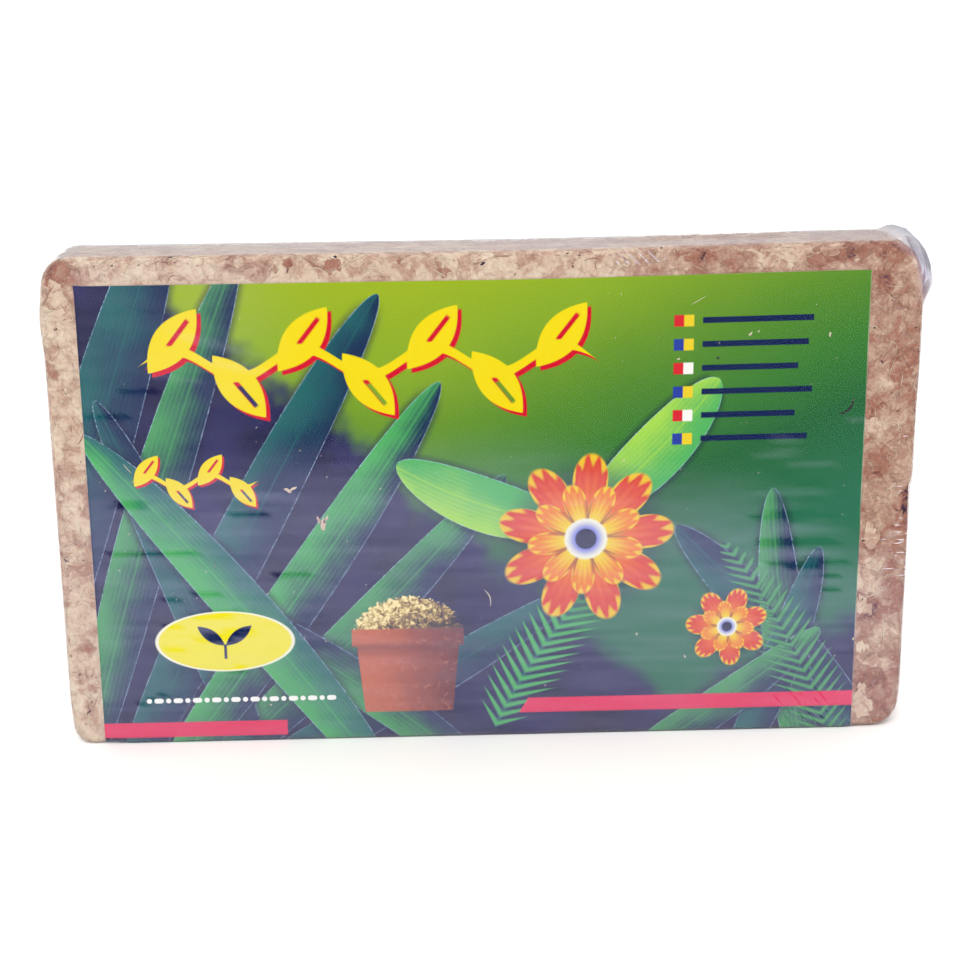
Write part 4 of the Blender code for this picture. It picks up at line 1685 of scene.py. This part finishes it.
def add_disc():
    """A round disc of one unit, filled with a fan on each face."""
    bpy.ops.mesh.primitive_circle_add(vertices=FLAKE_SIDES, radius=1.0, fill_type="TRIFAN")
    bpy.ops.object.mode_set(mode="EDIT")
    bpy.ops.mesh.select_all(action="SELECT")
    bpy.ops.mesh.extrude_region_move(TRANSFORM_OT_translate={"value": (0.0, 0.0, 1.0)})
    bpy.ops.mesh.select_all(action="SELECT")
    bpy.ops.mesh.normals_make_consistent(inside=False)
    bpy.ops.object.mode_set(mode="OBJECT")


# The largest flakes on the front, in millimetres: X, Z, length, width, how far they are turned in
# degrees, and the tone. Each is made of a few torn pieces
BIG_FLAKES = (
    (90.6, 74.7, 5.0, 3.5, 80.0, 0.65),
    (92.5, 48.4, 6.0, 3.5, 70.0, 0.54),
    (91.1, 37.5, 6.5, 5.0, 100.0, 0.64),
    (90.2, 31.5, 4.5, 3.0, 95.0, 0.64),
    (95.9, 17.1, 5.5, 3.5, 20.0, 0.54),
    (90.6, 20.5, 3.5, 1.6, 100.0, 0.70),
    (91.3, 4.6, 5.5, 4.0, 120.0, 0.60),
    (90.6, 10.0, 5.0, 2.6, 80.0, 0.58),
    (94.4, 27.4, 2.8, 1.9, 30.0, 0.34),
    (91.8, 67.0, 5.5, 2.6, 20.0, 0.28),
    (96.9, 6.8, 5.5, 4.0, 60.0, 0.32),
    (94.3, 9.5, 6.5, 2.2, 70.0, 0.30),
    (97.2, 91.8, 3.5, 2.0, 80.0, 0.26),
    (97.0, 81.0, 6.0, 2.4, 75.0, 0.32),
    (91.3, 100.0, 5.0, 2.5, 15.0, 0.32),
    (94.0, 96.5, 4.5, 2.2, 20.0, 0.34),
    (90.4, 80.2, 3.0, 1.3, 80.0, 0.26),
    (93.9, 114.2, 3.0, 2.0, 40.0, 0.30),
    (97.0, 115.6, 4.0, 1.6, -30.0, 0.32),
    (85.8, 116.4, 3.8, 2.4, 80.0, 0.30),
    (-43.5, 116.4, 2.6, 1.7, 80.0, 0.24),
    (-47.0, 115.0, 1.8, 1.0, 70.0, 0.22),
    (-34.6, 115.7, 4.8, 3.4, 60.0, 0.29),
    (-18.8, 116.6, 1.3, 1.0, 0.0, 0.30),
    (-9.3, 114.4, 3.8, 1.6, -25.0, 0.32),
    (48.0, 116.8, 5.0, 2.0, 10.0, 0.31),
    (53.5, 116.2, 3.5, 1.5, -20.0, 0.32),
    (62.0, 116.0, 6.0, 3.4, 0.0, 0.54),
    (72.0, 116.5, 6.0, 3.4, 5.0, 0.52),
    (79.5, 116.8, 5.0, 3.0, 0.0, 0.50),
    (-95.2, 114.0, 4.4, 3.4, 30.0, 0.26),
    (-98.3, 93.0, 4.2, 1.6, 90.0, 0.31),
    (-96.5, 81.0, 4.0, 2.6, 80.0, 0.65),
    (-98.2, 71.5, 4.5, 2.0, 90.0, 0.66),
    (-97.2, 37.2, 4.5, 2.5, 80.0, 0.65),
    (-95.4, 24.5, 4.0, 2.0, 70.0, 0.50),
    (-95.5, 14.3, 3.6, 2.4, 60.0, 0.52),
    (-94.8, 57.0, 5.0, 3.0, 80.0, 0.65),
)
TORN_PIECES = 4


def torn_outline(disc, ragged):
    """The disc's points for each copy, from -1 to 1 along and across, with its own reach at every side."""
    angle = np.arctan2(disc[:, 1], disc[:, 0])
    side = np.rint(angle / (2 * math.pi / FLAKE_SIDES)).astype(int) % FLAKE_SIDES
    reach = np.hypot(disc[:, 0], disc[:, 1])[None, :] * ragged[:, side]
    return reach * np.cos(angle), reach * np.sin(angle)


def place_big_flakes(jitter, centres, along, across, length, width, level):
    """The first flakes are torn pieces of the largest ones. They lie a little apart, each over the last."""
    for index, (shift_x, shift_z, turn, grow) in enumerate(jitter):
        x, z, long, wide, degrees, _ = BIG_FLAKES[index // TORN_PIECES]
        centres[index] = front_place(x + shift_x * long * 0.18, z + shift_z * long * 0.18)
        along[index], across[index] = front_frame(degrees + turn * 30.0)
        share = (0.42 + 0.06 * grow) * MM
        length[index], width[index] = long * share, wide * share
        level[index] = BODY_INSET - 0.09 * MM - index * 0.0001 * MM


def make_flakes():
    """Torn, pressed flakes of moss leaf all over the bare moss."""
    chances = np.random.RandomState(FLAKE_SEED)
    disc, faces = template(add_disc)
    centres = moss_places(chances, FLAKES, -0.5 * MM)
    along, across = frames_at(centres, chances)
    length = chances.gamma(2.2, 0.55, FLAKES) * MM + 0.35 * MM
    width = length * chances.uniform(0.28, 0.70, FLAKES)
    level = chances.uniform(*FLAKE_DEPTHS, FLAKES)
    wall = chances.uniform(*FLAKE_WALLS, FLAKES)
    jitter = chances.normal(0.0, 1.0, (TORN_PIECES * len(BIG_FLAKES), 4))
    place_big_flakes(jitter, centres, along, across, length, width, level)
    a, b = torn_outline(disc, 0.50 + 0.60 * chances.rand(FLAKES, FLAKE_SIDES))
    upper = np.where(disc[:, 2] > 0.5, 0.90, 1.0)
    a, b = a * upper, b * upper
    lean = chances.uniform(0.0, 6.0, FLAKES)[:, None]
    tilt = 0.012 * MM * (a * np.cos(lean) - b * np.sin(lean))
    depth = np.maximum(level[:, None] - disc[:, 2] * wall[:, None] + tilt, FLAKE_TOP)
    a, b = a * length[:, None], b * width[:, None]
    flakes = lay_moss("moss_flakes", spread(centres, a, b, along, across), depth, faces)
    tones = np.clip(moss_tone(centres) + chances.normal(0.0, 0.05, FLAKES), 0.0, 1.0)
    tones[: len(jitter)] = np.repeat([row[5] for row in BIG_FLAKES], TORN_PIECES) + 0.02 * jitter[:, 3]
    write_map(flakes, "OFBake", bake_cells(FLAKES, disc_map(disc)))
    shift = np.repeat(chances.uniform(0, 90, FLAKES), len(disc))
    write_map(flakes, "grain", np.stack([a.ravel() / MM + shift, b.ravel() / MM + shift], axis=1))
    flakes.data.shade_flat()
    finish_moss(flakes, tones, moss_finish("moss_leaf", (0.7, 4.0)))


def disc_map(disc):
    """The disc's own bake map: its upper face in the left half of a cell, and the lower in the right."""
    flat = np.stack([disc[:, 0] * 0.24 + 0.25, disc[:, 1] * 0.5 + 0.5], axis=1)
    flat[:, 0] += np.where(disc[:, 2] > 0.5, 0.0, 0.5)
    return flat


STRAND_RINGS = 6
STRAND_SIDES = 4
STRAND_THINNEST = 0.06 * MM
STRAND_WIDEST = 0.17 * MM


def tube_faces():
    """The faces of a thin bent tube with closed ends."""
    faces = [tuple(reversed(range(STRAND_SIDES)))]
    for ring in range(STRAND_RINGS - 1):
        for side in range(STRAND_SIDES):
            first, second = ring * STRAND_SIDES + side, ring * STRAND_SIDES + (side + 1) % STRAND_SIDES
            faces.append((first, second, second + STRAND_SIDES, first + STRAND_SIDES))
    last = (STRAND_RINGS - 1) * STRAND_SIDES
    return [*faces, tuple(range(last, last + STRAND_SIDES))]


def bent_tubes(centres, along, across, heading, length, width, level):
    """Points and depths of tubes that follow their headings. Every ring is a small diamond."""
    step = length[:, None] / (STRAND_RINGS - 1)
    a = np.cumsum(np.cos(heading) * step, axis=1)
    b = np.cumsum(np.sin(heading) * step, axis=1)
    a, b = a - a.mean(axis=1)[:, None], b - b.mean(axis=1)[:, None]
    corner = np.arange(STRAND_SIDES) * 2 * math.pi / STRAND_SIDES
    taper = np.sin(np.linspace(0.35, math.pi - 0.35, STRAND_RINGS))
    aside = width[:, None, None] * taper[None, :, None] * np.cos(corner)
    a = a[..., None] - np.sin(heading)[..., None] * aside
    b = b[..., None] + np.cos(heading)[..., None] * aside
    lift = np.sin(corner) * width[:, None, None] * 0.5
    depth = np.maximum(level[..., None], FLAKE_TOP + width[:, None, None] * 0.5) - lift
    a, b, depth = (part.reshape(len(centres), -1) for part in (a, b, depth))
    return spread(centres, a, b, along, across), depth


# The longest pale stems on the front, in millimetres: X, Z, length and heading in degrees
LONG_STEMS = (
    (94.5, 89.5, 8.0, 100.0),
    (96.2, 86.0, 7.0, 75.0),
    (93.0, 93.5, 5.0, 40.0),
    (90.8, 77.0, 5.5, 60.0),
    (92.6, 62.0, 9.5, 4.0),
    (91.5, 40.5, 7.5, 125.0),
    (93.0, 38.5, 6.0, 70.0),
    (95.5, 24.5, 8.0, 110.0),
    (94.0, 21.0, 6.0, 60.0),
    (90.2, 23.5, 3.5, 150.0),
    (96.0, 12.0, 5.0, 80.0),
    (-95.5, 96.0, 6.0, 105.0),
    (-97.5, 105.0, 5.0, 70.0),
    (-93.8, 52.0, 5.0, 85.0),
    (-92.0, 27.0, 5.5, 120.0),
    (86.5, 115.2, 5.5, 30.0),
)


def place_long_stems(centres, along, across, length, width):
    """The first strands are the long stems."""
    for index, (x, z, reach, degrees) in enumerate(LONG_STEMS):
        centres[index] = front_place(x, z)
        along[index], across[index] = front_frame(degrees)
        length[index] = reach * MM
        width[index] = STRAND_WIDEST


def make_strands():
    """Fine pale stems that curl over the flakes."""
    chances = np.random.RandomState(STRAND_SEED)
    centres = moss_places(chances, STRANDS, 0.0)
    along, across = frames_at(centres, chances)
    length = chances.gamma(3.0, 0.9, STRANDS) * MM + 0.8 * MM
    width = chances.uniform(STRAND_THINNEST, STRAND_WIDEST, STRANDS)
    place_long_stems(centres, along, across, length, width)
    turn = chances.normal(0.0, 0.35, (STRANDS, STRAND_RINGS)) + chances.normal(0.0, 0.34, STRANDS)[:, None]
    sway = np.sin(np.linspace(0, 6, STRAND_RINGS)[None, :] + chances.uniform(0, 6, STRANDS)[:, None])
    level = chances.uniform(*STRAND_DEPTHS, STRANDS)[:, None] + 0.02 * MM * sway
    turn[: len(LONG_STEMS)] *= 0.35
    level[: len(LONG_STEMS)] = BODY_INSET - 0.15 * MM
    points, depth = bent_tubes(centres, along, across, np.cumsum(turn, axis=1), length, width, level)
    strands = lay_moss("moss_strands", points, depth, tube_faces())
    tones = np.clip(moss_tone(centres) * 0.8 + 0.17 + chances.normal(0.0, 0.09, STRANDS), 0.0, 1.0)
    tones = np.where(chances.rand(STRANDS) < 0.03, chances.uniform(0.15, 0.35, STRANDS), tones)
    shares = np.repeat(np.linspace(0, 1, STRAND_RINGS), STRAND_SIDES)
    around = np.tile(np.arange(STRAND_SIDES) / STRAND_SIDES, STRAND_RINGS)
    write_map(strands, "OFBake", bake_cells(STRANDS, np.stack([shares, around], axis=1)))
    shift = np.repeat(chances.uniform(0, 90, STRANDS), len(shares))
    write_map(strands, "grain", np.stack([np.tile(shares * 6.0, STRANDS), shift], axis=1))
    finish_moss(strands, tones, moss_finish("moss_stem", (2.0, 2.0)))


def make_specks():
    """Small dark and pale crumbs pressed into the surface."""
    chances = np.random.RandomState(SPECK_SEED)
    ball, faces = template(lambda: bpy.ops.mesh.primitive_ico_sphere_add(subdivisions=1, radius=1.0))
    centres = moss_places(chances, SPECKS, 0.5 * MM)
    along, across = frames_at(centres, chances)
    size = chances.gamma(2.0, 0.05, SPECKS) * MM + 0.05 * MM
    stretch = chances.uniform(1.0, 3.2, SPECKS)
    ragged = 0.7 + 0.6 * chances.rand(SPECKS, len(ball))
    a = ball[None, :, 0] * ragged * (size * stretch)[:, None]
    b = ball[None, :, 1] * ragged * size[:, None]
    level = chances.uniform(*SPECK_DEPTHS, SPECKS)
    depth = level[:, None] - ball[None, :, 2] * np.minimum(size, 0.07 * MM)[:, None]
    specks = lay_moss("moss_specks", spread(centres, a, b, along, across), depth, faces)
    tones = moss_tone(centres) + 0.12
    tones = np.where(chances.rand(SPECKS) < 0.4, chances.uniform(-0.2, 0.3, SPECKS), tones)
    specks.data.shade_smooth()
    finish_moss(specks, tones, moss_finish("moss_crumb"))


# Crumbs caught between the film and the label, in millimetres: X, Z, length, width, how far they
# are turned in degrees, and the tone
CRUMBS = (
    (-38.3, 54.4, 3.6, 1.7, 80.0, 0.72),
    (-37.6, 55.8, 2.4, 0.7, 55.0, 0.74),
    (-39.2, 55.6, 2.2, 0.7, 110.0, 0.70),
    (-46.2, 63.1, 2.6, 1.0, 150.0, 0.70),
    (-45.0, 63.4, 2.0, 0.8, 30.0, 0.74),
    (44.6, 92.8, 0.9, 0.4, 20.0, 0.95),
    (61.1, 98.4, 1.5, 0.5, 45.0, 0.85),
    (63.0, 99.0, 0.6, 0.4, 0.0, 0.85),
    (53.8, 92.9, 0.9, 0.7, 10.0, -0.6),
    (79.5, 98.0, 1.5, 0.5, 80.0, 0.90),
    (35.8, 25.6, 0.8, 0.4, 60.0, 0.90),
    (88.1, 23.2, 1.0, 0.5, 70.0, 0.85),
    (47.5, 19.6, 1.0, 0.4, 120.0, 0.90),
    (-64.0, 45.0, 0.5, 0.4, 30.0, 0.10),
)
# Threads: X, Z, length, half width, their first heading in degrees, how much it turns with each
# ring in radians, and the tone
THREADS = (
    (84.4, 80.6, 5.6, 0.26, -75.0, -0.32, -0.6),
    (0.4, 35.6, 4.6, 0.13, 65.0, 0.25, 0.95),
    (-83.0, 69.0, 3.0, 0.08, -60.0, 0.05, 0.95),
    (49.0, 106.4, 3.8, 0.07, 30.0, 0.0, 0.95),
)


def dust(chances):
    """Rows like those of the crumbs, for fine dust all over the front of the label."""
    rows = []
    for _ in range(DUST):
        x, z = chances.uniform(-90.0, 86.0), chances.uniform(4.0, 110.0)
        long = chances.gamma(2.0, 0.07) + 0.10
        wide = long * chances.uniform(0.4, 0.9)
        rows.append((x, z, long, wide, chances.uniform(0, 180), chances.uniform(0.8, 1.0)))
    return rows


def make_crumbs():
    """Bits of moss and dust that lie on the label, under the film."""
    chances = np.random.RandomState(CRUMB_SEED)
    disc, faces = template(add_disc)
    rows = np.array([*CRUMBS, *dust(chances)])
    turn = np.radians(rows[:, 4])[:, None]
    a, b = torn_outline(disc, 0.6 + 0.5 * chances.rand(len(rows), FLAKE_SIDES))
    a, b = a * rows[:, 2:3] / 2, b * rows[:, 3:4] / 2
    x = rows[:, 0:1] + a * np.cos(turn) - b * np.sin(turn)
    z = rows[:, 1:2] + a * np.sin(turn) + b * np.cos(turn)
    y = np.broadcast_to((CRUMB_TOP - PACK_DEPTH / 2) / MM + 0.05 * (1.0 - disc[:, 2]), x.shape)
    crumbs = join_copies("label_crumbs", np.stack([x, y, z], axis=2) * MM, faces)
    finish_moss(crumbs, rows[:, 5], moss_finish("caught_crumb"))


def make_threads():
    """The few longer threads that lie on the label."""
    rows = np.array(THREADS)
    centres = np.array([(x, -PACK_DEPTH / 2 / MM, z) for x, z in rows[:, :2]]) * MM
    along, across = (np.tile(way, (len(rows), 1)) for way in front_frame(0.0))
    heading = np.radians(rows[:, 4])[:, None] + rows[:, 5:6] * np.arange(STRAND_RINGS)
    level = np.full(heading.shape, CRUMB_TOP + 0.03 * MM)
    points, depth = bent_tubes(centres, along, across, heading, rows[:, 2] * MM, rows[:, 3] * MM, level)
    points[..., 1] += np.clip(depth, CRUMB_TOP, CRUMB_TOP + 0.06 * MM)
    threads = join_copies("label_threads", points, tube_faces())
    finish_moss(threads, rows[:, 6], moss_finish("caught_thread"))


def main():
    deselect_all()
    clear_startup()
    add_camera()
    add_sun()
    add_sky()
    add_floor()
    make_film()
    make_label()
    make_moss_body()
    make_flakes()
    make_strands()
    make_specks()
    make_crumbs()
    make_threads()
    bpy.context.scene.view_settings.view_transform = "Standard"


main()
